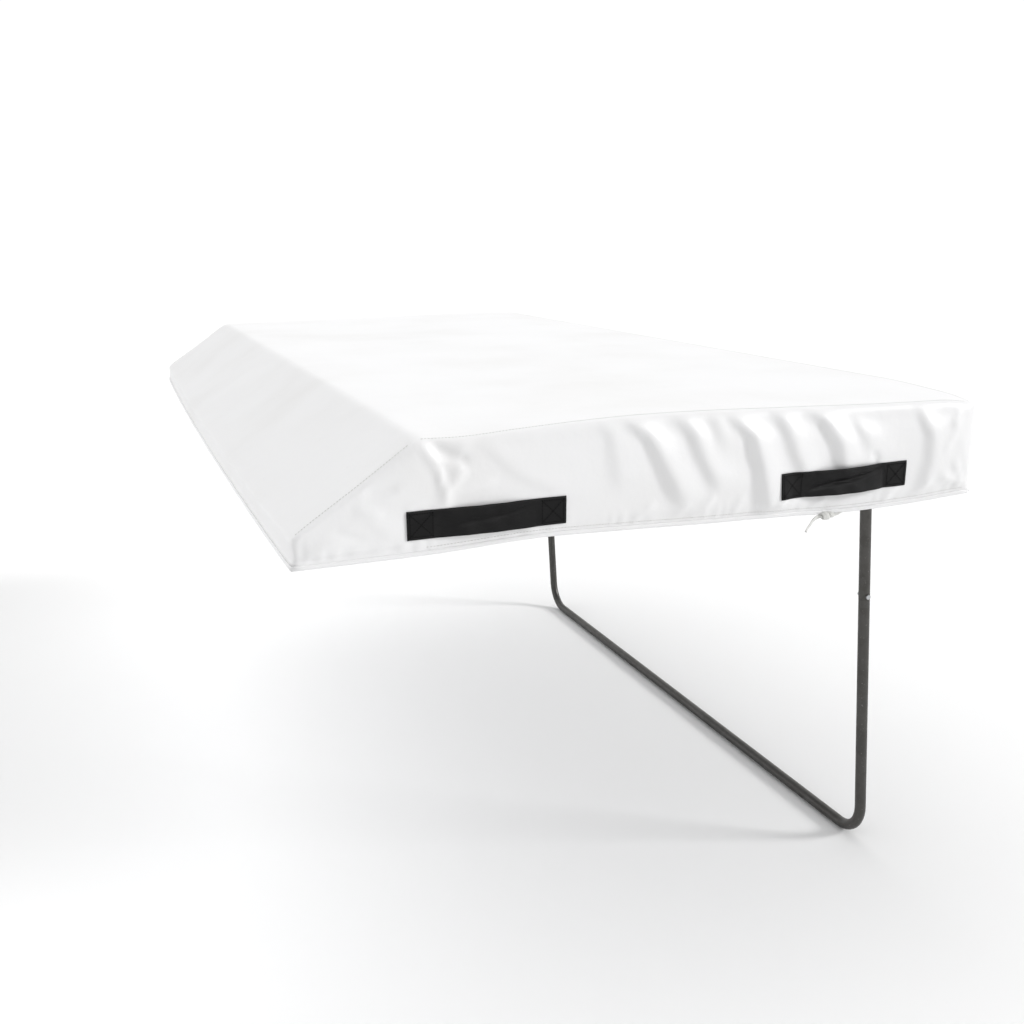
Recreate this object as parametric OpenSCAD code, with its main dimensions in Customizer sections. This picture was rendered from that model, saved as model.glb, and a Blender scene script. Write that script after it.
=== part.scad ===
// End deck for a rebound trampoline: a foam landing mat on a steel deck frame.
// The frame hooks over the trampoline's end rail and stands on a folding U-shaped leg.
// Frame of reference: the origin is on the axis of the hooked end rail, half way across.
// +X runs outward from the trampoline, +Y runs across and +Z is up.

/* [Mat] */
// Length of the mat, from the toe of its wedge to its outer end
mat_length = 1370; // [1200:10:1700]
// Width of the mat
mat_width = 2740; // [2500:10:3400]
// Thickness of the mat behind the wedge
mat_thickness = 200; // [160:5:250]
// Length of the sloping wedge
wedge_run = 220; // [120:5:360]
// Height of the blunt toe where the wedge starts
toe_height = 50; // [30:5:80]
// Thickness of the vinyl cover
cover_wall = 1.5; // [1:0.1:3]
// Thickness of the base sheet under the foam
base_sheet = 2; // [1:0.1:4]
// Thickness of the firm upper foam layer
firm_layer = 50; // [30:5:90]

/* [Handles] */
// Width of the carrying webbing
handle_webbing = 50; // [40:1:60]
// Thickness of the doubled webbing
handle_thickness = 2.4; // [1.6:0.1:4]
// Length of each handle along the mat
handle_span = 288; // [220:1:340]
// Length of the stitched patch at each end of a handle
handle_patch = 50; // [35:1:60]
// How far the middle of a handle stands off the mat
handle_bow = 18; // [12:1:30]
// Height of the handles' middle above the mat's underside
handle_height = 55; // [45:1:90]
// Distance from the toe to the middle of the inner handles
handle_from_toe = 337; // [300:1:500]
// Distance from the outer end to the middle of the outer handles
handle_from_end = 313; // [200:1:400]

/* [Zip] */
// Height of the zip above the mat's underside
zip_height = 22; // [18:1:40]
// Distance from each side of the mat to the end of the zip
zip_margin = 70; // [50:5:200]
// Width of the zip tape
zip_tape = 26; // [22:1:34]
// Width of the zip's coil
zip_coil = 6; // [5:0.5:8]
// Length of the zip slider
slider_length = 16; // [12:1:24]

/* [Deck frame] */
// How far the mat reaches inward past the hooked rail
mat_overlap = 545; // [480:5:620]
// Height of the mat's underside above the hooked rail's axis
bed_height = 85; // [80:1:120]
// Outside diameter of the deck rails
rail_d = 33.7; // [30:0.1:42.4]
// Wall of the deck rails
rail_wall = 2.6; // [2:0.1:4]
// Distance from the hooked rail to the deck's inner rail
inner_rail_x = 62; // [58:1:80]
// Distance from the mat's outer end to the deck's outer rail
outer_rail_gap = 21; // [18:1:60]
// Outside diameter of the ribs
rib_d = 26.9; // [21.3:0.1:33.7]
// Wall of the ribs and the stand's tubes
tube_wall = 2.3; // [2:0.1:3]
// Distance between the stand's two legs
leg_spacing = 2032; // [1900:1:2400]
// Length of each rail beyond the leg's axis
rail_overhang = 38; // [34:1:60]
// Number of bays between the side rails
bays = 4; // [3:1:5]
// Number of straps in each bay
straps_per_bay = 3; // [2:1:4]
// Width of the deck straps
strap_width = 50; // [40:1:60]
// Thickness of the deck straps
strap_thickness = 2.2; // [1.5:0.1:3]

/* [Hooks] */
// Outside diameter of the trampoline's end rail
end_rail_d = 38.1; // [33.7:0.1:42.4]
// Width of each hook along the rail
hook_width = 60; // [50:1:65]
// Thickness of the hook's plate
hook_plate = 6; // [5:0.5:8]
// Thickness of the rubber liner
liner = 3; // [2:0.5:4]
// Depth of the hook's straight lips below the rail's axis
hook_lip = 14; // [10:1:18]
// Thickness of the keeper plate
keeper_plate = 4; // [3:0.5:6]
// Diameter of the keeper's shoulder screw
keeper_screw_d = 8; // [6:1:10]

/* [Stand] */
// Outside diameter of the stand's tubes
stand_d = 26.9; // [25:0.1:33.7]
// Drop from the mat's underside to the axis of the floor bar
floor_drop = 978; // [700:1:1100]
// Radius of the bends, on the tube's axis
bend_r = 85; // [70:1:140]
// Outward lean of the stand, in degrees
lean = 2.6; // [1:0.1:8]
// Depth of the hinge below the deck rails' axis
hinge_drop = 40.5; // [38:0.5:60]
// Diameter of the hinge bolts
hinge_bolt_d = 10; // [8:1:12]
// Thickness of the hinge bracket's plates
bracket_plate = 5; // [4:0.5:8]
// Depth of the bracket below the hinge
bracket_drop = 52; // [45:1:54]
// Distance from the hinge to the joint between leg and base
joint_drop = 291; // [200:1:400]
// Depth of the spigot in each of the two tubes
spigot_depth = 70; // [50:1:100]
// Diameter of the bolt through leg and spigot
spigot_bolt_d = 6; // [5:1:8]
// Distance from the spigot bolt to the joint
spigot_bolt_edge = 17; // [14:1:30]

/* [Tie tape] */
// Diameter of the rolled cotton tie tape
tape_d = 7; // [5:0.5:9]
// Distance from the outer end to the knot
knot_from_end = 347; // [250:1:500]

/* [Hidden] */
$fn = 64;

// Clearances
soft_gap = 0.3;      // between a soft piece and what it rests on
weld_gap = 0.1;      // between a coped end and the tube it is welded to
running_gap = 0.05;  // radial, between a pin and its hole
cut = 1;             // how far a cut runs past the face it opens
join = 0.01;         // overlap of two shapes that make one solid

// Sides of drawn circles
hex_sides = 6;
tape_sides = 8;
arc_sides = 256;

// Mat
mat_x0 = -mat_overlap;
mat_x1 = mat_x0 + mat_length;
mat_side = mat_width / 2;
slope = atan((mat_thickness - toe_height) / wedge_run);
inner_handle_x = mat_x0 + handle_from_toe;
outer_handle_x = mat_x1 - handle_from_end;
handle_z = bed_height + handle_height;
handle_chord = handle_span - 2 * handle_patch;
handle_r = (handle_chord * handle_chord / 4 + handle_bow * handle_bow) / (2 * handle_bow);
patch_join = 1;
foam_gap = cover_wall + soft_gap;
foam_floor = base_sheet + soft_gap;
soft_top = mat_thickness - foam_gap - firm_layer;

// Zip
zip_base = 1.2;
zip_ridge = 2.4;
zip_length = mat_width - 2 * zip_margin;
zip_z = bed_height + zip_height;
zip_face = mat_x1 + soft_gap;
slider_wall = 1.6;
slider_gap = 0.4;
slider_width = zip_coil + 2 * (slider_gap + slider_wall);
slider_x0 = zip_face + zip_base + slider_gap;
slider_x1 = zip_face + zip_base + zip_ridge + slider_gap + slider_wall;
slider_rest = -(zip_length / 2 - slider_length);
pull_thickness = 1.6;
pull_length = 20;
pull_width = 7;

// Deck frame
rail_r = rail_d / 2;
rail_z = bed_height - soft_gap - strap_thickness - weld_gap - rail_r;
outer_rail_x = mat_x1 + outer_rail_gap;
leg_y = leg_spacing / 2;
rail_length = leg_spacing + 2 * rail_overhang;
bay = leg_spacing / bays;
strap_pitch = bay / (straps_per_bay + 1);
cap_flange = 2.5;
cap_depth = 14;
cap_plug_r = rail_r - rail_wall - running_gap;

// Hooks
rail_seat = end_rail_d / 2 + running_gap * 2;
liner_r = rail_seat + liner;
hook_r = liner_r + running_gap + hook_plate;
hook_y = bay * floor((bays - 1) / 2) + bay / 2 + (straps_per_bay % 2 == 0 ? 0 : strap_pitch / 2);
arm_thickness = 8;
lug_r = 9;
lug_out = 3;
lug_rise = 3;
lug_x = hook_r + lug_out;
lug_z = -hook_lip + lug_rise;
keeper_arm = 12;
keeper_clear = 1.5;
keeper_end_r = lug_r - 1;
keeper_top = -(end_rail_d / 2 + keeper_clear);
screw_depth = 18;
screw_head_r = 7.5;
screw_head_h = 3;
screw_socket_d = 0.7 * keeper_screw_d;

// Stand
stand_r = stand_d / 2;
hinge_x = outer_rail_x;
hinge_z = rail_z - hinge_drop;
leg_top = 14;
plug_flange = 2;
plug_r = stand_r - tube_wall - running_gap;
bar_depth = (bed_height - floor_drop - hinge_z) / -cos(lean);
washer_t = 1.4;
washer_r = stand_r - 3;
lug_gap = stand_r + washer_t + 3 * running_gap;
bracket_half = 20;
lug_clear = pow(rail_r + weld_gap, 2) - lug_gap * lug_gap;  // squared height of a lug beside the rail
lug_up = hinge_drop - sqrt(max(0, lug_clear)) - soft_gap;
stop_gap = 0.2;
stop_top = -18;
stop_foot = -bracket_drop + 2;
bush_wall = 2;
bush_r = hinge_bolt_d / 2 + bush_wall;
plug_depth = leg_top - bush_r - 1;
spigot_r = stand_r - tube_wall - running_gap;
spigot_wall = 2.5;
spigot_bolt_z = -joint_drop + spigot_bolt_edge;

// Bolts, nuts and their threads
bolt_face = lug_gap + bracket_plate;
nut_h = 0.8 * hinge_bolt_d;
head_h = 0.64 * hinge_bolt_d;
hex_r = 0.98 * hinge_bolt_d;
hinge_tail = nut_h + 3;
bolt_head_r = 0.92 * spigot_bolt_d;
bolt_head_h = 0.55 * spigot_bolt_d;
small_nut_h = 0.85 * spigot_bolt_d;
small_nut_r = 0.95 * spigot_bolt_d;
spigot_tail = small_nut_h + 1.5;

// Tie tape: its route along the hem, through the knot and down its loose tail,
// measured from the knot along X, from the mat's side along Y and from its underside along Z
tape_route = [
  [54, 3, -4], [48, 2, -5], [41, 0, -8], [34, -2, -11], [27, -4, -13], [20, -6, -14],
  [14, -6, -14], [7, -6, -14], [0, -6, -14], [-7, -6, -14], [-14, -6, -14], [-20, -6, -15],
  [-26, -7, -18], [-31, -7, -22], [-36, -8, -28], [-41, -8, -34], [-46, -9, -41]
];
knot_x = mat_x1 - knot_from_end;
knot_r = 9;
knot_length = 28;
knot_drop = 14;
knot_out = 6;

// Side outline of the mat in the XZ plane, drawn in by a wall w, from the height z0 up
function mat_outline(w, z0) = [
  [w, z0],
  [mat_length - w, z0],
  [mat_length - w, mat_thickness - w],
  [wedge_run + w * (1 / cos(slope) - 1) / tan(slope), mat_thickness - w],
  [w, toe_height + w * tan(slope) - w / cos(slope)]
];

// Turns a side outline into a block of the given width, centred across the mat
module across(width) {
  translate([mat_x0, width / 2, bed_height]) rotate([90, 0, 0])
    linear_extrude(height = width) children();
}

// A round bar along Y, centred on y
module bar_y(r, length, y = 0) {
  translate([0, y, 0]) rotate([90, 0, 0]) cylinder(r = r, h = length, center = true);
}

// A round tube along Y
module tube_y(r, wall, length) {
  difference() {
    bar_y(r, length);
    bar_y(r - wall, length + 2 * cut);
  }
}

// A round tube along X, from x0 to x1, with both ends coped round the deck rails
module coped_tube(r, wall, y) {
  difference() {
    translate([inner_rail_x, y, rail_z]) rotate([0, 90, 0])
      cylinder(r = r, h = outer_rail_x - inner_rail_x);
    translate([inner_rail_x - cut, y, rail_z]) rotate([0, 90, 0])
      cylinder(r = r - wall, h = outer_rail_x - inner_rail_x + 2 * cut);
    for (x = [inner_rail_x, outer_rail_x])
      translate([x, y, rail_z]) bar_y(rail_r + weld_gap, 4 * r);
  }
}

// Mirrors its children to the side: -1 is the near side and 1 is the far side
module on_side(side) {
  if (side < 0) children();
  else mirror([0, 1, 0]) children();
}

// Places its children on the near hinge's axis, leaning with the stand
module in_stand() {
  translate([hinge_x, 0, hinge_z]) rotate([0, -lean, 0]) children();
}

// ---- Mat ----

module mat_cover() {
  color("white") difference() {
    across(mat_width) polygon(mat_outline(0, base_sheet));
    across(mat_width - 2 * cover_wall) polygon(mat_outline(cover_wall, base_sheet - cut));
  }
}

module mat_base() {
  color("gainsboro") translate([mat_x0, -mat_side, bed_height])
    cube([mat_length, mat_width, base_sheet]);
}

// The whole foam block, cut to the heights and lengths given
module foam(z_low, z_high, x_low, x_high) {
  intersection() {
    across(mat_width - 2 * foam_gap) polygon(mat_outline(foam_gap, foam_floor));
    translate([mat_x0 + x_low, -mat_side, bed_height + z_low])
      cube([x_high - x_low, mat_width, z_high - z_low]);
  }
}

module foam_wedge() {
  color("khaki") foam(0, mat_thickness, 0, wedge_run);
}

module foam_soft_layer() {
  color("lightyellow") foam(0, soft_top, wedge_run, mat_length);
}

module foam_firm_layer() {
  color("gold") foam(soft_top, mat_thickness, wedge_run, mat_length);
}

// One webbing handle lying against the near side of the mat, centred on x
module handle(x) {
  translate([x, -mat_side, handle_z - handle_webbing / 2])
    linear_extrude(height = handle_webbing) {
      for (end = [-1, 1])
        translate([end * (handle_span - handle_patch) / 2 - handle_patch / 2, -handle_thickness])
          square([handle_patch, handle_thickness]);
      intersection() {
        translate([0, handle_r - handle_bow - handle_thickness / 2]) difference() {
          circle(r = handle_r + handle_thickness / 2, $fn = arc_sides);
          circle(r = handle_r - handle_thickness / 2, $fn = arc_sides);
        }
        translate([-handle_chord / 2 - patch_join, -handle_bow - handle_thickness])
          square([handle_chord + 2 * patch_join, handle_bow + handle_thickness]);
      }
    }
}

module handle_near_inner() { color("black") on_side(-1) handle(inner_handle_x); }
module handle_near_outer() { color("black") on_side(-1) handle(outer_handle_x); }
module handle_far_inner() { color("black") on_side(1) handle(inner_handle_x); }
module handle_far_outer() { color("black") on_side(1) handle(outer_handle_x); }

module zip_chain() {
  color("lightgray") {
    translate([mat_x1, -zip_length / 2, zip_z - zip_tape / 2])
      cube([zip_base, zip_length, zip_tape]);
    translate([mat_x1, -zip_length / 2, zip_z - zip_coil / 2])
      cube([zip_base + zip_ridge, zip_length, zip_coil]);
  }
}

module zip_slider() {
  color("silver") difference() {
    translate([slider_x0, slider_rest - slider_length / 2, zip_z - slider_width / 2])
      cube([slider_x1 - slider_x0, slider_length, slider_width]);
    translate([slider_x0 - cut, slider_rest - slider_length, zip_z - zip_coil / 2 - slider_gap])
      cube([zip_ridge + cut, 2 * slider_length, zip_coil + 2 * slider_gap]);
  }
}

module zip_pull() {
  color("silver") translate([slider_x1, slider_rest, zip_z]) difference() {
    union() {
      translate([0, -pull_width / 2, -pull_length])
        cube([pull_thickness, pull_width, pull_length]);
      rotate([0, 90, 0]) cylinder(d = pull_width, h = pull_thickness);
    }
    translate([-cut, 0, -pull_length + pull_width / 2]) rotate([0, 90, 0])
      cylinder(d = pull_width / 2, h = pull_thickness + 2 * cut);
  }
}

// Points of a ring of the tape about p, in the plane square to the direction d
function ring(p, d, r, sides) =
  let (side = cross(d, [0, 1, 0]), u = side / norm(side), v = cross(d, u) / norm(d))
  [for (k = [0:sides - 1]) p + r * (cos(360 * k / sides) * u + sin(360 * k / sides) * v)];

// The direction of a route at its point i
function heading(route, i) =
  route[min(i + 1, len(route) - 1)] - route[max(i - 1, 0)];

// A tube of radius r swept along a route
module sweep(route, r, sides) {
  last = len(route) - 1;
  points = [for (i = [0:last]) each ring(route[i], heading(route, i), r, sides)];
  walls = [for (i = [0:last - 1], k = [0:sides - 1])
    [i * sides + k, i * sides + (k + 1) % sides,
     (i + 1) * sides + (k + 1) % sides, (i + 1) * sides + k]];
  start = [for (k = [sides - 1:-1:0]) k];
  end = [for (k = [0:sides - 1]) last * sides + k];
  polyhedron(points = points, faces = concat([start], walls, [end]));
}

// The tape leaves the knot on both sides, so its middle stretch is the knot itself
module tie_tape() {
  color("white") translate([knot_x, -mat_side, bed_height])
    for (part = [[for (p = tape_route) if (p[0] >= knot_length / 2) p],
                 [for (p = tape_route) if (p[0] <= -knot_length / 2) p]])
      sweep(part, tape_d / 2, tape_sides);
}

module tie_knot() {
  color("white") translate([knot_x, -mat_side - knot_out, bed_height - knot_drop])
    rotate([0, 90, 0]) cylinder(r = knot_r, h = knot_length, center = true);
}

// ---- Deck frame ----

module inner_rail() {
  color("silver") translate([inner_rail_x, 0, rail_z]) tube_y(rail_r, rail_wall, rail_length);
}

module outer_rail() {
  color("silver") translate([outer_rail_x, 0, rail_z]) tube_y(rail_r, rail_wall, rail_length);
}

module side_rail_near() { color("silver") coped_tube(rail_r, rail_wall, -leg_y); }
module side_rail_far() { color("silver") coped_tube(rail_r, rail_wall, leg_y); }

module deck_ribs() {
  color("silver") for (i = [1:bays - 1]) coped_tube(rib_d / 2, tube_wall, -leg_y + i * bay);
}

// The outline of a strap's loop round the two rails, with a radius r at each rail
module loop_outline(r) {
  for (x = [inner_rail_x, outer_rail_x]) translate([x, rail_z]) circle(r = r);
  translate([inner_rail_x, rail_z - r]) square([outer_rail_x - inner_rail_x, 2 * r]);
}

module deck_straps() {
  inside = rail_r + weld_gap;
  color("dimgray") for (b = [0:bays - 1], s = [1:straps_per_bay])
    translate([0, -leg_y + b * bay + s * strap_pitch + strap_width / 2, 0]) rotate([90, 0, 0])
      linear_extrude(height = strap_width) difference() {
        loop_outline(inside + strap_thickness);
        loop_outline(inside);
      }
}

module rail_end_caps() {
  color("black") for (x = [inner_rail_x, outer_rail_x], side = [-1, 1]) on_side(side)
    translate([x, -rail_length / 2, rail_z]) {
      bar_y(rail_r, cap_flange, -cap_flange / 2);
      bar_y(cap_plug_r, cap_depth, cap_depth / 2 - join);
    }
}

// ---- Hooks ----

// Half round saddle with straight lips, between two radii, in the XZ plane
module saddle(r_in, r_out, lip) {
  difference() {
    union() {
      circle(r = r_out);
      translate([-r_out, -lip]) square([2 * r_out, lip]);
    }
    circle(r = r_in);
    translate([-r_in, -lip - cut]) square([2 * r_in, lip + cut]);
    translate([-r_out - cut, -lip - r_out - cut]) square([2 * r_out + 2 * cut, r_out + cut]);
  }
}

// Lays a drawing of the XZ plane on the near hook, with a thickness along Y
module on_hook(width) {
  translate([0, -hook_y + width / 2, 0]) rotate([90, 0, 0])
    linear_extrude(height = width) children();
}

// The bar from the saddle up to the deck's inner rail
module hook_arm() {
  reach = norm([inner_rail_x, rail_z]);
  rotate(atan2(rail_z, inner_rail_x)) translate([0, -arm_thickness / 2])
    square([reach, arm_thickness]);
}

module hook() {
  difference() {
    on_hook(hook_width) difference() {
      union() {
        saddle(liner_r + running_gap, hook_r, hook_lip);
        hook_arm();
        translate([lug_x, lug_z]) circle(r = lug_r);
      }
      circle(r = liner_r + running_gap);
      translate([-liner_r - running_gap, -2 * hook_r])
        square([2 * (liner_r + running_gap), 2 * hook_r]);
      translate([inner_rail_x, rail_z]) circle(r = rail_r + weld_gap);
    }
    translate([lug_x, -hook_y, lug_z])
      bar_y(keeper_screw_d / 2 + running_gap, 2 * screw_depth, -hook_width / 2);
  }
}

module hook_liner() {
  on_hook(hook_width) saddle(rail_seat, liner_r, hook_lip);
}

// Plate that turns under the hooked rail, on the outboard face of the hook
module keeper() {
  reach = lug_x + hook_r;
  difference() {
    translate([0, -(hook_width + keeper_plate) / 2 - soft_gap, 0]) on_hook(keeper_plate) {
      translate([lug_x, lug_z]) circle(r = keeper_end_r);
      translate([lug_x - keeper_end_r, keeper_top - keeper_arm / 2])
        square([2 * keeper_end_r, lug_z - keeper_top + keeper_arm / 2]);
      translate([-hook_r + keeper_arm / 2, keeper_top - keeper_arm])
        square([reach - keeper_arm / 2 + keeper_end_r, keeper_arm]);
      translate([-hook_r + keeper_arm / 2, keeper_top - keeper_arm / 2])
        circle(r = keeper_arm / 2);
    }
    translate([lug_x, -hook_y - hook_width / 2, lug_z])
      bar_y(keeper_screw_d / 2 + running_gap, 4 * keeper_plate);
  }
}

module hook_near() { color("gray") on_side(-1) hook(); }
module hook_far() { color("gray") on_side(1) hook(); }
module hook_liner_near() { color("black") on_side(-1) hook_liner(); }
module hook_liner_far() { color("black") on_side(1) hook_liner(); }
module keeper_near() { color("goldenrod") on_side(-1) keeper(); }
module keeper_far() { color("goldenrod") on_side(1) keeper(); }

module keeper_screws() {
  seat = hook_y + hook_width / 2;
  outside = seat + keeper_plate + 2 * soft_gap;
  color("lightgray") for (side = [-1, 1]) on_side(side) translate([lug_x, 0, lug_z]) {
    bar_y(keeper_screw_d / 2, outside - seat + screw_depth, -(outside + seat - screw_depth) / 2);
    difference() {
      bar_y(screw_head_r, screw_head_h, -outside - screw_head_h / 2);
      translate([0, -outside - screw_head_h, 0]) rotate([90, 0, 0])
        cylinder(d = screw_socket_d, h = screw_head_h, center = true, $fn = hex_sides);
    }
  }
}

// ---- Stand ----

// Side outline of a lug about the hinge: square to the deck above and leaning with the leg below
function lug_outline() =
  let (down = [-sin(lean), -cos(lean)], along = [cos(lean), -sin(lean)])
  [
    [-bracket_half, lug_up], [bracket_half, lug_up], [bracket_half, 0],
    [bracket_half * along[0] - bracket_drop * down[0],
     bracket_half * along[1] + bracket_drop * down[1]],
    [-bracket_half * along[0] - bracket_drop * down[0],
     -bracket_half * along[1] + bracket_drop * down[1]],
    [-bracket_half, 0]
  ];

// Two lugs hung from the deck's corner, joined outboard by the plate that stops the leg
module hinge_bracket() {
  difference() {
    union() {
      for (face = [-1, 1])
        translate([hinge_x, -leg_y + face * (lug_gap + bracket_plate / 2) + bracket_plate / 2, hinge_z])
          rotate([90, 0, 0]) linear_extrude(height = bracket_plate) polygon(lug_outline());
      in_stand() translate([stand_r + stop_gap, -leg_y - lug_gap - bracket_plate / 2, stop_foot])
        cube([bracket_plate, 2 * lug_gap + bracket_plate, stop_top - stop_foot]);
    }
    translate([hinge_x, -leg_y, hinge_z]) bar_y(hinge_bolt_d / 2 + running_gap, 6 * stand_d);
    translate([outer_rail_x, -leg_y, rail_z]) bar_y(rail_r + weld_gap, 6 * stand_d);
  }
}

module hinge_bracket_near() { color("gray") on_side(-1) hinge_bracket(); }
module hinge_bracket_far() { color("gray") on_side(1) hinge_bracket(); }

// The bolt's head is outboard and its nut is inboard of each bracket
module hinge_bolts() {
  color("lightgray") for (side = [-1, 1]) on_side(side)
    translate([hinge_x, -leg_y, hinge_z]) {
      bar_y(hinge_bolt_d / 2, 2 * bolt_face + hinge_tail, hinge_tail / 2);
      translate([0, -bolt_face - head_h / 2, 0]) rotate([90, 0, 0])
        cylinder(r = hex_r, h = head_h, center = true, $fn = hex_sides);
    }
}

module hinge_nuts() {
  color("lightgray") for (side = [-1, 1]) on_side(side)
    translate([hinge_x, -leg_y + bolt_face + nut_h / 2, hinge_z]) difference() {
      rotate([90, 0, 0]) cylinder(r = hex_r, h = nut_h, center = true, $fn = hex_sides);
      bar_y(hinge_bolt_d / 2 + running_gap, nut_h + 2 * cut);
    }
}

module hinge_washers() {
  color("white") for (side = [-1, 1], face = [-1, 1]) on_side(side)
    translate([hinge_x, -leg_y + face * (stand_r + running_gap * 2 + washer_t / 2), hinge_z])
      difference() {
        bar_y(washer_r, washer_t);
        bar_y(hinge_bolt_d / 2 + running_gap, washer_t + 2 * cut);
      }
}

// Upper tube of a leg, bored for its bush and for the spigot's bolt
module leg() {
  in_stand() translate([0, -leg_y, 0]) difference() {
    translate([0, 0, -joint_drop]) cylinder(r = stand_r, h = joint_drop + leg_top);
    translate([0, 0, -joint_drop - cut])
      cylinder(r = stand_r - tube_wall, h = joint_drop + leg_top + 2 * cut);
    bar_y(bush_r + running_gap, 2 * stand_d);
    translate([0, 0, spigot_bolt_z]) bar_y(spigot_bolt_d / 2 + running_gap, 2 * stand_d);
  }
}

module leg_near() { color("darkgray") on_side(-1) leg(); }
module leg_far() { color("darkgray") on_side(1) leg(); }

module leg_bushes() {
  color("gray") for (side = [-1, 1]) on_side(side) in_stand() translate([0, -leg_y, 0])
    difference() {
      bar_y(bush_r, stand_d);
      bar_y(hinge_bolt_d / 2 + running_gap, stand_d + 2 * cut);
    }
}

module leg_top_plugs() {
  color("black") for (side = [-1, 1]) on_side(side) in_stand()
    translate([0, -leg_y, leg_top]) {
      cylinder(r = stand_r, h = plug_flange);
      translate([0, 0, -plug_depth]) cylinder(r = plug_r, h = plug_depth + plug_flange / 2);
    }
}

module spigot() {
  in_stand() translate([0, -leg_y, -joint_drop - spigot_depth]) difference() {
    cylinder(r = spigot_r, h = 2 * spigot_depth);
    translate([0, 0, -cut]) cylinder(r = spigot_r - spigot_wall, h = 2 * (spigot_depth + cut));
    translate([0, 0, spigot_depth + spigot_bolt_edge])
      bar_y(spigot_bolt_d / 2 + running_gap, stand_d);
  }
}

module spigot_near() { color("gray") on_side(-1) spigot(); }
module spigot_far() { color("gray") on_side(1) spigot(); }

module spigot_bolts() {
  color("lightgray") for (side = [-1, 1]) on_side(side) in_stand()
    translate([0, -leg_y, spigot_bolt_z]) {
      bar_y(spigot_bolt_d / 2, stand_d + spigot_tail, spigot_tail / 2);
      bar_y(bolt_head_r, bolt_head_h, -stand_r - bolt_head_h / 2);
    }
}

module spigot_nuts() {
  color("lightgray") for (side = [-1, 1]) on_side(side) in_stand()
    translate([0, -leg_y + stand_r + small_nut_h / 2, spigot_bolt_z]) difference() {
      rotate([90, 0, 0])
        cylinder(r = small_nut_r, h = small_nut_h, center = true, $fn = hex_sides);
      bar_y(spigot_bolt_d / 2 + running_gap, small_nut_h + 2 * cut);
    }
}

// The solid or the hollow of the U-shaped base, depending on the radius
module u_base(r, over) {
  straight = bar_depth - bend_r - joint_drop;
  for (side = [-1, 1]) {
    translate([0, side * leg_y, -joint_drop - straight])
      cylinder(r = r, h = straight + over);
    on_side(side) translate([0, -leg_y + bend_r, -bar_depth + bend_r])
      rotate([0, 90, 180]) rotate_extrude(angle = 90) translate([bend_r, 0]) circle(r = r);
  }
  translate([0, 0, -bar_depth]) bar_y(r, leg_spacing - 2 * bend_r);
}

module stand_base() {
  color("darkgray") in_stand() difference() {
    u_base(stand_r, 0);
    u_base(stand_r - tube_wall, cut);
  }
}

mat_cover();
mat_base();
foam_wedge();
foam_soft_layer();
foam_firm_layer();
handle_near_inner();
handle_near_outer();
handle_far_inner();
handle_far_outer();
zip_chain();
zip_slider();
zip_pull();
tie_tape();
tie_knot();
inner_rail();
outer_rail();
side_rail_near();
side_rail_far();
deck_ribs();
deck_straps();
rail_end_caps();
hook_near();
hook_far();
hook_liner_near();
hook_liner_far();
keeper_near();
keeper_far();
keeper_screws();
hinge_bracket_near();
hinge_bracket_far();
hinge_bolts();
hinge_nuts();
hinge_washers();
leg_near();
leg_far();
leg_bushes();
leg_top_plugs();
spigot_near();
spigot_far();
spigot_bolts();
spigot_nuts();
stand_base();
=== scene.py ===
"""Looks of a trampoline end deck: a vinyl landing mat on a strapped steel frame with a folding stand.

Lengths are in metres, in the frame's own axes: +X runs outward from the trampoline, +Y runs across
to the far side and +Z is up. Places come from the frame's nodes. Sizes that the frame doesn't hold,
such as the folds of the cover or the pitch of a stitch, are fields of the class that uses them.
"""
import logging
import math
from dataclasses import dataclass
from enum import Enum
from functools import lru_cache
from typing import Iterable, Optional, Sequence, Union

import bmesh
import bpy
import numpy as np
from mathutils import Matrix, Vector
from mathutils.bvhtree import BVHTree


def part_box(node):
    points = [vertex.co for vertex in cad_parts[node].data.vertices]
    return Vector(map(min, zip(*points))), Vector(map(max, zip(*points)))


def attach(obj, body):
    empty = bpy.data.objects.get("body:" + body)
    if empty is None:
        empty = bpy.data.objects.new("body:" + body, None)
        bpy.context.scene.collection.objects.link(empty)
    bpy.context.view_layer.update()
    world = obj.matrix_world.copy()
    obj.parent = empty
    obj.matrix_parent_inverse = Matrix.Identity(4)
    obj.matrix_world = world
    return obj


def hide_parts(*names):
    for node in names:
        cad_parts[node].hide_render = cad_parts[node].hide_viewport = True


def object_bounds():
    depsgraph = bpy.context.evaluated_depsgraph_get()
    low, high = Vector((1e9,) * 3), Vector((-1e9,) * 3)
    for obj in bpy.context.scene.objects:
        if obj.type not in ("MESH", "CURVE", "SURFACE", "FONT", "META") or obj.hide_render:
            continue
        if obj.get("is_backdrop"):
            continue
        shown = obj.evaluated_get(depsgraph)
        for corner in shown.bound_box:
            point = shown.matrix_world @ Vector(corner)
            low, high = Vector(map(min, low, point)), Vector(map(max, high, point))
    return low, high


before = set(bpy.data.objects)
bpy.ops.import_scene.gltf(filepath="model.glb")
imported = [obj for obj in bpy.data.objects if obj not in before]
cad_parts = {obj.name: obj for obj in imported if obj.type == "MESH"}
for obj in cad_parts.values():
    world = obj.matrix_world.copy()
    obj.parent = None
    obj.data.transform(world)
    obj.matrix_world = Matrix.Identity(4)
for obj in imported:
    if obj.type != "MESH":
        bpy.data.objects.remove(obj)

log = logging.getLogger("end_deck")

Point = tuple[float, float, float]
Place = tuple[float, float]
MM = 0.001
TINY = 1e-6          # two places nearer than this are the same


# ---------------------------------------------------------------- shader maths

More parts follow.
